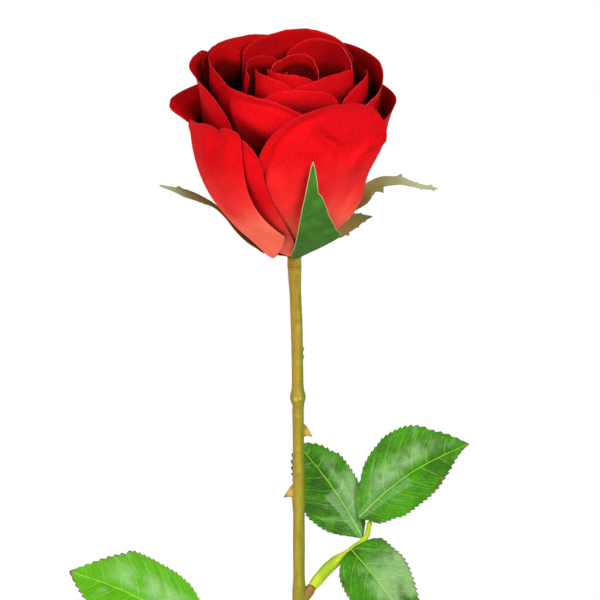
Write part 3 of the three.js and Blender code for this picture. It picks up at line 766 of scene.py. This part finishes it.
def rim_drop(petal, index, u, length):
    """How much of the petal's length is missing at each place across it."""
    drop = petal.round * (1 - np.sqrt(1 - (0.98 * u) ** 2)) - petal.tilt * u
    drop = drop + 0.0035 * rumple(index, 6 * u) + 0.0012 * rumple(50 + index, 25 * u)
    for at, width, deep in petal.nicks:
        drop = drop + deep / length * bell((u - at) / width)
    return drop


def petal_angle(petal, u, s, half, on_shell):
    """The azimuth of each point, in radians."""
    angle = math.radians(petal.azimuth) + u * half / np.maximum(on_shell, PEG_RADIUS)
    angle = angle + math.radians(petal.veer) * (1 - s) ** 3
    return angle + math.radians(petal.reach) * (1 - s) ** 6 * clamp01(u) ** 2


def petal_lift(petal, index, u, v, s, cloth, length):
    """How far waves, the rolled rim, the foot and the creases lift the petal off its smooth form."""
    across, along, from_rim = cloth
    lift = petal.wave * smoothstep((s - 0.6) / 0.35) * rumple(100 + index, 3.2 * u, 1.5 * v)
    lift = lift + petal.curl * clamp01(1 - from_rim / CURL_LENGTH) ** 2
    lift = lift + petal.kick * clamp01(1 - s * length / KICK_LENGTH) ** 2
    lift = lift + 0.12 * smoothstep(s / 0.3) * rumple(200 + index, across / 5, along / 6)
    return lift + fold_height(petal.folds, u, v, petal.span, length)


def petal_grid(petal, index):
    """The petal's middle surface in the head's own frame, the distance from its edge, and its cloth numbers:
    how far across, how far along, and how far from the rim."""
    u, v = cloth_places(76 * petal.fine + 1, 52 * petal.fine + 1)
    lengths, radii, heights = meridian(petal.depth, petal.top, petal.rim, petal.root)
    length = lengths[-1]
    drop = rim_drop(petal, index, u, length)
    heel = petal.heel / length * clamp01(u) ** 1.3
    s = clamp01(heel + (1 - heel) * v * (1 - drop))
    on_shell = np.interp(s * length, lengths, radii)
    height = np.interp(s * length, lengths, heights)
    half = petal.foot + (petal.span - petal.foot) * np.sin(np.pi / 2 * clamp01(s / petal.full))
    angle = petal_angle(petal, u, s, half, on_shell)
    lip = clamp01((s - 0.87) / 0.13) ** 1.3 * (1 - u * u) * (1 + petal.lean * u)
    shoulder = smoothstep((s - 0.55) / 0.3) * (1 - u * u) ** 2
    turned_out = petal.twist * u * smoothstep(s) + petal.flare * lip + petal.swell * shoulder
    radius = on_shell * flattened(angle, height) + turned_out + common_wave(angle, height, petal.depth)
    radius = np.maximum(radius, PEG_RADIUS + 0.4)
    grid = np.stack([radius * np.cos(angle), radius * np.sin(angle), height - 0.25 * petal.flare * lip], -1)
    from_rim = (1 - v) * length
    edge = np.minimum(from_rim, (1 - np.abs(u)) * half)
    cloth = u * half, v * length * (1 - drop) / petal.blush, from_rim
    lift = petal_lift(petal, index, u, v, s, cloth, length)
    return grid + normals_of(grid) * lift[..., None], edge, np.stack(cloth, -1)


def make_petals():
    plain_edge = cut_material("petal_cut_edge", DEEP_RED, ROSE_RED)
    pale_edge = cut_material("petal_frayed_edge", ROSE_RED, PETAL_FRAY)
    skins = {
        kind: (
            petal_material(f"petal_{kind}_outside", *outside),
            petal_material(f"petal_{kind}_inside", *inside),
        )
        for kind, outside, inside in PETAL_SHADES
    }
    named = [(ring, i, petal) for ring, petals in PETALS.items() for i, petal in enumerate(petals, 1)]
    for index, (ring, number, petal) in enumerate(named):
        name = f"{ring}_petal_{number}"
        grid, edge, cloth = petal_grid(petal, index)
        mesh = sheet_mesh(name, from_head(grid), PETAL_THICKNESS, edge, cloth)
        cut = pale_edge if name in PALE_RIMS else plain_edge
        piece(name + "_cloth", mesh, [*skins[petal.shade or ring], cut], name)


# -------- flower head: calyx and receptacle

# Sepals in the head's own frame. Each lies on the shell up to the height leave, then goes through the
# [radius, height] points beyond. It has either edges, with the azimuths of both edges at some heights, or
# widths, (share of its length, width). roll turns its face forwards once it has left the shell, above 0 by
# lowering the edge at the smaller azimuth. teeth are (side, share of its length, size) of barbs. inset is how
# far inside the shell it lies, and tuck how much further its foot does.
SEPALS = [
    dict(tuck=5.8, leave=48, beyond=[(41.8, 53), (42.4, 56.3)],
        edges=[(1, 262, 290), (2.5, 262, 292), (4, 262, 300), (6, 264, 312), (8, 266, 325), (10, 268, 328),
        (12, 269.5, 330), (15, 270.5, 321), (21.5, 272, 304), (29.3, 273.5, 293.8), (35.5, 274.6, 289.4),
        (40.5, 275.9, 286.1), (42, 276.2, 283.9), (47.9, 277.5, 282.8), (53.2, 278.8, 281.4),
        (56.3, 279.9, 280.3)]),
    dict(azimuth=12, inset=3.2, tuck=7.2, leave=17,
        beyond=[(27.4, 23.5), (29.8, 28), (33, 29.8), (38, 31.6), (42.8, 31.5), (47.4, 30.9), (52.5, 28.6),
        (57.7, 26.7), (62.5, 25.3)],
        widths=[(0, 4), (0.2, 7.2), (0.4, 7), (0.5, 6), (0.55, 5.4), (0.6, 5), (0.66, 4.4), (0.72, 3.8),
        (0.78, 3.3), (0.86, 2.2), (0.93, 1.8), (1, 0.7)], roll=62, roll_from=18,
        teeth=[(-1, 0.57, 0.8), (-1, 0.645, 2.5), (1, 0.775, 1.3), (1, 0.88, 0.5), (-1, 0.91, 0.5),
        (1, 0.965, 1.1), (-1, 0.985, 1.0)]),
    dict(azimuth=43, inset=2.3, tuck=5, leave=6,
        beyond=[(24, 8.3), (32, 9), (38, 8.2), (43, 7.3), (47.5, 5.8), (51, 4.8)],
        widths=[(0, 4), (0.25, 7), (0.5, 10.5), (0.7, 9), (0.83, 6), (0.93, 3.4), (1, 0.5)], roll=55,
        roll_from=3, teeth=[(1, 0.78, 1.1), (1, 0.88, 1.3), (-1, 0.62, 1.6), (-1, 0.76, 0.9),
        (-1, 0.86, 0.9)]),
    dict(azimuth=113, leave=10, beyond=[(34, 20), (56, 24)],
        widths=[(0, 5), (0.3, 12), (0.6, 8), (0.8, 4.5), (0.93, 2.5), (1, 0.5)],
        teeth=[(1, 0.5, 1.8), (-1, 0.6, 1.5), (-1, 0.75, 1.2)]),
    dict(azimuth=176, leave=0.2,
        beyond=[(6, 1.7), (10, 2.3), (12.5, 2.7), (15.5, 4.8), (19.6, 7.6), (24, 12), (27.6, 16.8),
        (31.6, 20.8), (36, 23.6), (43, 27), (54, 29.6)],
        widths=[(0, 4), (0.25, 6), (0.45, 3.4), (0.6, 3.0), (0.7, 3.8), (0.82, 3.6), (0.9, 1.8),
        (0.96, 0.9), (1, 0.3)], roll=-35, roll_from=20, teeth=[(-1, 0.88, 1.2), (1, 0.68, 0.6)]),
]
CALYX_CLEARANCE = 1
CALYX_RING = (PEG_RADIUS + 0.25, 3.5)  # its two radii
CALYX_RING_Z = 1.35
CALYX_RING_THICKNESS = 0.5
CALYX_SHELL_Z = 2.2  # above this the sepals lie on their shell
TUCK_HEIGHT = 15.5  # up to this a sepal's tuck fades out
INLAND = 9  # stands for a place far from any cut edge


def calyx_radius(z):
    return shell_radius(z + CALYX_CLEARANCE) + CALYX_CLEARANCE


def sepal_sides(sepal, v, height, radius):
    """The azimuth of a sepal's middle, in radians, and its half width, at each row."""
    if "edges" in sepal:
        at, one, other = np.array(sepal["edges"]).T
        one = np.radians(np.interp(height, at, one))
        other = np.radians(np.interp(height, at, other))
        return (one + other) / 2, (other - one) / 2 * radius
    at, width = np.array(sepal["widths"]).T
    return np.radians(sepal["azimuth"]), np.interp(v, at, width) / 2


def barbs(sepal, u, v, length):
    """How far the barbs widen the sepal at each point."""
    total = 0
    for side, at, size in sepal.get("teeth", ()):
        reach = (v - at) * length / size
        barb = np.where(reach < 0, clamp01(1 + reach / 1.6), clamp01(1 - reach / 0.3))
        total = total + size * barb * clamp01(side * u) ** 2
    return total


def sepal_line(sepal):
    """The [radius, height] points that a sepal's middle goes through."""
    start = [(CALYX_RING[1] - 0.2, CALYX_RING_Z)]
    if sepal["leave"] <= CALYX_SHELL_Z:
        return start + sepal["beyond"]
    z = CALYX_SHELL_Z + (sepal["leave"] - CALYX_SHELL_Z) * np.linspace(0, 1, 9) ** 1.5
    inset = sepal.get("inset", 0) * smoothstep((z - CALYX_SHELL_Z) / 8)
    inset = inset + sepal.get("tuck", 2.5) * clamp01(1 - z / TUCK_HEIGHT)
    return [*start, *zip(calyx_radius(z) - inset, z), *sepal["beyond"]]


def sepal_grid(sepal, index):
    """The sepal's middle surface in the head's own frame, the distance from its edge, and its cloth numbers:
    how far across, how far along, and how far from the edge."""
    u, v = cloth_places(121, 25)
    line = through(sepal_line(sepal), v[:, 0])
    length = np.linalg.norm(np.diff(line, axis=0), axis=1).sum()
    along_line = unit(np.gradient(line, axis=0))
    radius, height = line[:, :1], line[:, 1:]
    middle, half = sepal_sides(sepal, v, height, radius)
    barb = barbs(sepal, u, v, length)
    roll = math.radians(sepal.get("roll", 0))
    turned = roll * smoothstep((height - sepal.get("roll_from", sepal["leave"] - 5)) / 10)
    sideways = u * (half + barb) * np.cos(turned)
    low_side = -math.copysign(1, roll) * u
    lowered = ((1 + low_side) * half + low_side * barb) * np.sin(np.abs(turned))
    angle = middle + sideways / radius
    out = radius * flattened(angle, height, 0.075, 30) + along_line[:, 1:] * lowered
    up = height - along_line[:, :1] * lowered
    grid = np.stack([out * np.cos(angle), out * np.sin(angle), up], -1)
    free = smoothstep((v * length - 12) / 25)
    grid = grid + normals_of(grid) * (0.35 * free * rumple(300 + index, u * 1.5, v * 5))[..., None]
    edge = (1 - np.abs(u)) * (half + barb)
    return grid, edge, np.stack([u * (half + barb), v * length, edge], -1)


def calyx_ring():
    angle, radius = np.meshgrid(np.linspace(0, 2 * np.pi, 49), np.linspace(*CALYX_RING, 7))
    grid = np.stack([radius * np.cos(angle), radius * np.sin(angle), np.full_like(angle, CALYX_RING_Z)], -1)
    edge = np.full_like(angle, INLAND)
    cloth = np.stack([radius * angle, radius, edge], -1)
    ring = sheet_mesh("calyx_ring", from_head(grid), CALYX_RING_THICKNESS, edge, cloth)
    ring.polygons.foreach_set("material_index", [OUTER] * len(ring.polygons))
    return ring


def make_calyx():
    skins = [
        outer_sepal_material(),
        inner_sepal_material(),
        cut_material("sepal_cut_edge", SEPAL_EDGE, SEPAL_FRAY),
    ]
    parts = []
    for index, sepal in enumerate(SEPALS):
        grid, edge, cloth = sepal_grid(sepal, index)
        parts.append(sheet_mesh(f"sepal_{index}", from_head(grid), PETAL_THICKNESS, edge, cloth))
    shape = bmesh.new()
    for part in [*parts, calyx_ring()]:
        shape.from_mesh(part)
        bpy.data.meshes.remove(part)
    bmesh.ops.remove_doubles(shape, verts=shape.verts, dist=0.001 * MM)
    piece("calyx_cloth", mesh_from(shape, "calyx"), skins, "calyx")


def make_receptacle():
    """A peg with a slightly wider foot, which the stem runs into."""
    foot, foot_z, top = PEG_RADIUS + 0.1, -3.1, 40
    profile = [
        (0, foot_z), (foot, foot_z), (foot + 0.02, foot_z + 0.02), (foot, foot_z + 0.5), (PEG_RADIUS, 1),
        (PEG_RADIUS, top / 2), (PEG_RADIUS - 0.5, top - 2), (PEG_RADIUS - 1.5, top), (0, top),
    ]
    mesh = lathe_mesh("receptacle", profile, 40)
    points = np.array([v.co for v in mesh.vertices]) / MM
    mesh.vertices.foreach_set("co", (from_head(points) * MM).ravel())
    piece("receptacle_moulding", mesh, [bpy.data.materials["stem_plastic"]], "receptacle")


# -------- stem

STEM_PATH = [
    (-9.5, 0, VASE_FLOOR + 1.7), (-3.2, 0, 80), (5.8, 0, 150), (7.3, 0, LEFT_PEG_Z), (7.0, 0, RIGHT_PEG_Z),
    *from_level(HEAD[2], [(6.6, 0.2, -70), (6.0, 0.8, -30), (5.2, 1.2, -8), (HEAD[0], 0.49, -3.14)]),
]
# Swellings: distance below the head, extra radius, half the length of the swelling
SWELLINGS = [(57, 0.8, 2.4), (99.5, 0.35, 3), (138, 0.5, 5), (178, 0.6, 5)]
# Thorns: height, side of the stem, how far they stand out
THORNS = [(HEAD[2] - 70.6, 1, 3.6), (HEAD[2] - 95.6, -1, 3.8)]
THORN_DROOP = 2.9
# Small scars: height, angle from the right towards the back, how far they stand out, below 0 for a pit
SCARS = [
    (HEAD[2] - 37.5, 0.15, 0.55), (HEAD[2] - 40.6, -0.2, 0.5), (HEAD[2] - 60.5, -1.6 - np.pi / 2, -0.35),
]
SCAR_SIZE = 0.8
RIGHT_SOCKET = from_level(RIGHT_PEG_Z, [(7.4, 0, -4.6), (9.85, 0.5, -1.3), (12.3, 1, 2)])
LEFT_SOCKET = from_level(LEFT_PEG_Z, [(6.6, 0, -4), (4, 0.65, -1.2), (1.4, 1.3, 1.6)])
SOCKET_RADIUS = 1.85
# Coloured places on the stem: middle, radius, colour
RUSTY = [
    ((10.8, 0, HEAD[2] - 71.5), 2.6, THORN_STRAW), ((14.4, 0, HEAD[2] - 73.6), 2.6, STEM_BROWN),
    ((3.0, 0, HEAD[2] - 96.5), 2.6, THORN_STRAW), ((0.6, 0, HEAD[2] - 97.9), 2.6, STEM_BROWN),
    ((11, 0.8, RIGHT_PEG_Z), 4.6, STEM_BROWN), ((2.6, 1, LEFT_PEG_Z), 4.6, STEM_BROWN),
    ((6.3, -2.5, HEAD[2] - 60.5), 0.9, STEM_BROWN), ((5.6, -2.6, HEAD[2] - 57.4), 1.2, STEM_STRAW),
    ((7.4, -2.4, HEAD[2] - 57), 0.9, STEM_STRAW),
]


def stem_mesh():
    sides = 56
    path = through(STEM_PATH, np.linspace(0, 1, 760))
    below = HEAD[2] - path[:, 2]
    radii = STEM_RADIUS + 0.5 * smoothstep((16 - below) / 14)
    for centre, extra, half in SWELLINGS:
        radii = radii + extra * bell((below - centre) / half)

    def bulge(angle, row):
        z = path[row, 2]
        total = 0.07 * rumple(401, 3 * np.cos(angle), 3 * np.sin(angle), z / 6)
        total = total + 0.03 * rumple(402, 5 * np.sin(angle), z / 3)
        for height, middle, size in SCARS:
            aside = turn_from(angle, middle) * STEM_RADIUS / SCAR_SIZE
            total = total + size * bell(aside) * bell((z - height) / SCAR_SIZE)
        return total

    grid = bar_grid(path, radii, sides, bulge)
    for height, side, size in THORNS:
        turn = turn_from(round_angles(sides), 0 if side > 0 else np.pi)
        away = np.hypot(turn * STEM_RADIUS / 1.15, (grid[..., 2] - height) / 2.7)
        reach = clamp01(1 - away)
        grid[..., 0] += side * size * reach ** 0.9
        grid[..., 2] -= THORN_DROOP * reach ** 1.5
    return bar_mesh("stem", grid)


def socket_mesh(points):
    """A stub of the stem that carries a leaf stalk."""
    shares = np.linspace(0, 1, 22)
    radii = SOCKET_RADIUS + 0.4 * np.sin(np.pi * shares) + 0.08 * np.sin(shares * 40)
    radii[-1] -= 0.15
    return bar_mesh("socket", bar_grid(through(points, shares), radii, 32, uneven_skin(403, 0.09, 3, 3)))


def make_stem():
    mesh = joined_mesh("stem", [stem_mesh(), socket_mesh(RIGHT_SOCKET), socket_mesh(LEFT_SOCKET)])
    piece("stem_moulding", mesh, [stem_material()], "stem")


# -------- leaf sprays

RIGHT_STALK = from_level(RIGHT_PEG_Z, [
    (12.42, 1.04, 2.12), (18.6, 3, 9), (24.6, 4.6, 13.8), (29.2, 5.7, 17.2), (33.6, 6.8, 20.6),
    (35.4, 6, 27.6),
])
LEFT_STALK = from_level(LEFT_PEG_Z, [
    (1.2, 1.37, 1.78), (-4.6, 2.2, 6.2), (-11.5, 1.6, 10.4), (-19, 0.6, 14.2), (-26, -0.6, 17.6),
    (-31.5, -1.6, 20.6),
])
SLEEVE_RADIUS = 2.3
STALK_RADIUS = 1.05
BLUNT_TIP = [0.97, 0.9, 0.75, 0.45]  # shares of the radius that a stalk's last rings have

# Leaflets, placed as in the CAD model, with heights from their level. left and right are its half width at
# some shares of its length, on each side of the midrib. bow bends the midrib sideways, above 0 to the right.
# light is how much paler the leaflet is. sheen places its pale band of painted sheen: the side of the midrib,
# -1 or 1, how far to that side it starts and ends, and the shares of the length where it starts and ends.
# wedge is how strong the pale wedge of film and painted sheen at its foot is. facing is where its face
# points, fold lifts its sides and arch its middle.
BROAD_LEFT = [(0, 0.6), (0.05, 5.2), (0.12, 9.2), (0.25, 12.8), (0.42, 14.5), (0.58, 13.8), (0.72, 11.2),
              (0.84, 7.2), (0.93, 3.4), (1, 0.3)]
BROAD_RIGHT = [(0, 0.6), (0.04, 4.6), (0.1, 8.4), (0.22, 12.2), (0.38, 14.3), (0.55, 14.2), (0.7, 11.8),
               (0.82, 7.8), (0.92, 3.8), (1, 0.3)]
LEAVES = [
    dict(name="right_leaflet_upper_left", level=RIGHT_PEG_Z, base=(32.4, 8.5, 20.6), tip=(5.9, 14, 58),
        facing=(0.15, -0.9, 0.35), fold=2, arch=2, wedge=0.5, bow=1.2,
        left=[(0, 0.8), (0.051, 3.7), (0.16, 9.4), (0.233, 12.1), (0.336, 14.4), (0.441, 15.6), (0.6, 14.6),
        (0.754, 11.3), (0.844, 8.6), (0.942, 4.4), (1, 0.3)],
        right=[(0, 0.6), (0.05, 2.6), (0.2, 7.2), (0.359, 9.6), (0.5, 10.4), (0.645, 10.6), (0.763, 8.8),
        (0.86, 6.9), (0.965, 2.4), (1, 0.3)]),
    dict(name="right_leaflet_tip", level=RIGHT_PEG_Z, base=(31, 6.4, 29.2), tip=(75.2, 8, 59),
        facing=(-0.1, -0.9, 0.4), fold=2.5, arch=2.5, light=0.05, sheen=(-1, 1, 12, 0.1, 0.9), wedge=0.3,
        bow=-2.8, left=[(0, 0.8), (0.03, 3.9), (0.083, 7.6), (0.16, 10.5), (0.23, 13.3), (0.347, 16.1),
        (0.42, 17.1), (0.51, 18.2), (0.6, 18), (0.69, 16.9), (0.763, 14.7), (0.823, 11.1), (0.894, 7.6),
        (0.954, 3.5), (1, 0.2)],
        right=[(0, 0.6), (0.06, 4.9), (0.108, 8.1), (0.224, 10.9), (0.369, 13.1), (0.49, 12.9),
        (0.586, 12.1), (0.713, 8.9), (0.842, 4.2), (0.95, 1), (1, 0.2)]),
    dict(name="right_leaflet_lower", level=RIGHT_PEG_Z, base=(27.9, 3.5, 16.5), tip=(56.5, -6, -20),
        facing=(0.2, -0.8, 0.45), fold=2.5, arch=3, sheen=(-1, -7, 30, 0.1, 1.4),
        left=[(0, 3.2), (0.02, 8.3), (0.05, 11.1), (0.098, 12.9), (0.2, 13.7), (0.302, 14.3), (0.444, 13.2),
        (0.66, 9.5), (0.82, 5.5), (0.93, 2.4), (1, 0.3)],
        right=[(0, 2.6), (0.03, 6.8), (0.065, 9.4), (0.143, 12.4), (0.231, 13.8), (0.307, 14.6), (0.45, 15),
        (0.6, 13.8), (0.75, 10.5), (0.88, 6), (1, 0.3)]),
    dict(name="left_leaflet_tip", level=LEFT_PEG_Z, base=(-31.2, -3.2, 20.6), tip=(-85.2, -5, 50.5),
        facing=(0.1, -0.85, 0.5), fold=3, arch=3, light=0.5, wedge=0.3, bow=2.9,
        left=[(0, 0.6), (0.05, 5.5), (0.12, 10), (0.22, 14), (0.35, 16.6), (0.5, 17), (0.65, 15.3),
        (0.76, 12.3), (0.847, 8.7), (0.92, 5), (1, 0.3)],
        right=[(0, 0.6), (0.05, 6), (0.1, 9.8), (0.186, 13.4), (0.3, 16), (0.436, 16.9), (0.608, 16.7),
        (0.729, 14.1), (0.8, 11.2), (0.871, 7.5), (0.94, 3.6), (1, 0.3)]),
    dict(name="left_leaflet_lower", level=LEFT_PEG_Z, base=(-19.4, -0.95, 13.7), tip=(-51, -22, -16),
        facing=(-0.35, -0.65, 0.6), fold=2.5, arch=4, light=0.3, sheen=(-1, 1, 13, 0.1, 0.85),
        left=BROAD_LEFT, right=BROAD_RIGHT),
    dict(name="left_leaflet_back", level=LEFT_PEG_Z, base=(-20.6, 2, 15.4), tip=(-34, 46, 18),
        facing=(0.1, -0.25, 0.95), fold=2.5, arch=5, light=0.2, left=BROAD_RIGHT, right=BROAD_LEFT),
]
PLAIN_LEAF = dict(light=0, wedge=0, bow=0, sheen=(1, 1, 13, 0.1, 0.85))
TOOTH_PITCH = 2.1
TOOTH_DEPTH = 0.8
ROWS_PER_TOOTH = 5
VEIN_PITCH = 7.2
BROAD_HALF = 16  # a leaflet with this half width has its full fold and wave


def half_width(points, v):
    line = through(points, np.linspace(0, 1, 300))
    return np.interp(v, line[:, 0], line[:, 1])


def vein_places(v, across, length, index):
    """Where a point lies among the side veins. Each whole number is a vein, bent towards the tip."""
    wander = 0.16 * rumple(700 + index, v * 8, np.sign(across) * 2)
    wander = wander + 0.035 * rumple(720 + index, across / 1.4, v * 14)
    reach = np.abs(across)
    return (v * length - 0.27 * reach ** 1.42) / VEIN_PITCH + np.where(across < 0, 0.0, 0.4) + wander


def leaf_lift(leaf, index, u, v, half, across, veins, length):
    """How far the leaflet's fold, arch, veins and crumples lift it off a flat sheet."""
    shape = half / BROAD_HALF
    near = np.abs((veins + 0.5) % 1 - 0.5) * VEIN_PITCH
    inner = smoothstep((1 - np.abs(u)) * 4) * smoothstep(np.abs(across) / 1.5)
    quilt = (-0.2 * np.cos(2 * np.pi * veins) - 0.14 * bell(near / 0.5)) * inner
    crumple = 0.14 * rumple(800 + index, across / 1.7, v * length / 1.7)
    crumple = crumple + 0.5 * rumple(850 + index, across / 4.5, v * length / 5) * inner
    groove = -0.4 * bell(across / 0.9) * smoothstep((1 - v) * 3)
    wave = 1.1 * np.abs(u) ** 2 * rumple(500 + index, v * 9 + 2 * np.sign(u))
    rise = leaf["fold"] * np.abs(u) * shape + leaf["arch"] * np.sin(np.pi * v) * (1 - 0.35 * u * u)
    return rise + quilt + crumple + groove + wave * clamp01(shape)


def leaf_grid(leaf, index):
    """The leaflet's middle surface, its cloth numbers and the share of its length at each point."""
    base, tip = np.array(from_level(leaf["level"], [leaf["base"], leaf["tip"]]))
    length = np.linalg.norm(tip - base)
    rib = (tip - base) / length
    side = unit(np.cross(leaf["facing"], rib))
    up = unit(np.cross(rib, side))
    rows = round(length / TOOTH_PITCH) * ROWS_PER_TOOTH + 1
    u, v = cloth_places(rows, 57)
    half = np.where(u < 0, half_width(leaf["left"], v), half_width(leaf["right"], v))
    saw = (np.arange(rows) % ROWS_PER_TOOTH)[:, None] / (ROWS_PER_TOOTH - 1)
    tooth = TOOTH_DEPTH * smoothstep(half / 5) * np.abs(u) ** 8
    across = u * (half + tooth * (saw - 0.5))
    along = v * length + 0.4 * tooth * saw
    veins = vein_places(v, across, length, index)
    lift = leaf_lift(leaf, index, u, v, half, across, veins, length)
    aside = across + leaf["bow"] * np.sin(np.pi * v)
    grid = base + rib * along[..., None] - side * aside[..., None] + up * lift[..., None]
    return grid, np.stack([across, veins, (1 - np.abs(u)) * half], -1), v


def make_leaves():
    under = leaf_underside()
    cut = cut_material("leaf_cut_edge", LEAF_EDGE, LEAF_BROWN)
    for index, shape in enumerate(LEAVES):
        leaf = {**PLAIN_LEAF, **shape}
        grid, cloth, share = leaf_grid(leaf, index)
        mesh = sheet_mesh(leaf["name"], grid, LEAF_THICKNESS, cloth[..., 2], cloth)
        add_attribute(mesh, "share", "FLOAT", share.ravel())
        piece(leaf["name"] + "_cloth", mesh, [leaf_material(leaf), under, cut], leaf["name"])


def stalk_mesh(points):
    """A stalk with a sleeve at its foot, a bead further up and a blunt tip."""
    shares = np.linspace(0, 1, 120)
    radii = STALK_RADIUS + (SLEEVE_RADIUS - STALK_RADIUS) * smoothstep((0.56 - shares) / 0.2)
    radii = radii - 0.3 * bell(shares / 0.05) + 0.12 * bell((shares - 0.27) / 0.08)
    radii = radii + 0.18 * bell((shares - 0.76) / 0.03)
    radii[-len(BLUNT_TIP) :] *= BLUNT_TIP
    return bar_mesh("stalk", bar_grid(through(points, shares), radii, 28, uneven_skin(601, 0.06, 2, 12)))


def make_stalks():
    plastic = stalk_material()
    for name, points in (("right_leaf_stalk", RIGHT_STALK), ("left_leaf_stalk", LEFT_STALK)):
        piece(name + "_moulding", stalk_mesh(points), [plastic], name)


# -------- vase


def make_vase():
    foot, belly, neck = VASE_FOOT_RADIUS, VASE_BELLY_RADIUS, VASE_NECK_RADIUS
    outer = [
        (foot, 3), (belly - 1.5, 22), (belly, 45), (belly - 5, 74), (neck + 7, 104), (neck + 0.6, 132),
        (neck, 156), (neck + 1.2, 170), (VASE_LIP_RADIUS - 0.2, VASE_HEIGHT - 1.6),
    ]
    wall = through(outer, np.linspace(0, 1, 90))
    inner = [(r - VASE_WALL, z) for r, z in wall[::-1] if z > VASE_FLOOR + 1]
    half = VASE_WALL / 2
    turn = np.linspace(0, np.pi, 12)[1:-1]
    lip = [(VASE_LIP_RADIUS - half + half * np.cos(a), VASE_HEIGHT - half + half * np.sin(a)) for a in turn]
    profile = [
        (0, 1.2), (foot - 6, 1.2), (foot - 5.2, 0.6), (foot - 4.6, 0), (foot - 2, 0), (foot - 0.9, 0.5),
        (foot - 0.2, 1.6), *wall, *lip, *inner, (foot - VASE_WALL - 2, VASE_FLOOR), (0, VASE_FLOOR),
    ]
    piece("vase_glazed", lathe_mesh("vase", profile, 128), [glaze_material()], "vase")


# -------- stage

TARGET = Vector((0.0073, 0, 0.3518))
ELEVATION = math.radians(12)
DISTANCE = 6.0
FOCAL_LENGTH = 900  # with the distance, 0.24 m wide at the target
FLOOR_REACH = 4e4


def make_floor():
    far = FLOOR_REACH
    mesh = mesh_of("floor", [(-far, -far, 0), (far, -far, 0), (far, far, 0), (-far, far, 0)], [(0, 1, 2, 3)])
    mesh.materials.append(Paint("floor_paper", PAPER).finish(0.9))
    placed("floor", mesh)


def make_light(name, direction, strength, spread):
    """A soft light from far away, as from a wide diffuser. direction points from the object to it."""
    data = bpy.data.lights.new(name, "SUN")
    data.energy = strength
    data.angle = math.radians(spread)
    placed(name, data).rotation_euler = Vector(direction).to_track_quat("Z", "Y").to_euler()


def make_camera():
    data = bpy.data.cameras.new("camera")
    data.lens = FOCAL_LENGTH
    data.sensor_width = 36
    data.clip_end = 200
    camera = placed("camera", data)
    camera.location = TARGET + DISTANCE * Vector((0, -math.cos(ELEVATION), math.sin(ELEVATION)))
    camera.rotation_euler = (math.pi / 2 - ELEVATION, 0, 0)
    bpy.context.scene.camera = camera


def make_stage():
    make_floor()
    make_camera()
    make_light("key", (0.5, -0.86, 0.52), 3.4, 25)
    make_light("fill", (-0.66, -0.7, 0.48), 2.8, 50)
    world = bpy.data.worlds.new("studio")
    world.use_nodes = True
    background = world.node_tree.nodes["Background"].inputs
    background["Color"].default_value = (1, 1, 1, 1)
    background["Strength"].default_value = 0.2
    bpy.context.scene.world = world
    bpy.context.scene.view_settings.view_transform = "Standard"


make_stage()
make_stem()
make_petals()
make_calyx()
make_receptacle()
make_stalks()
make_leaves()
make_vase()
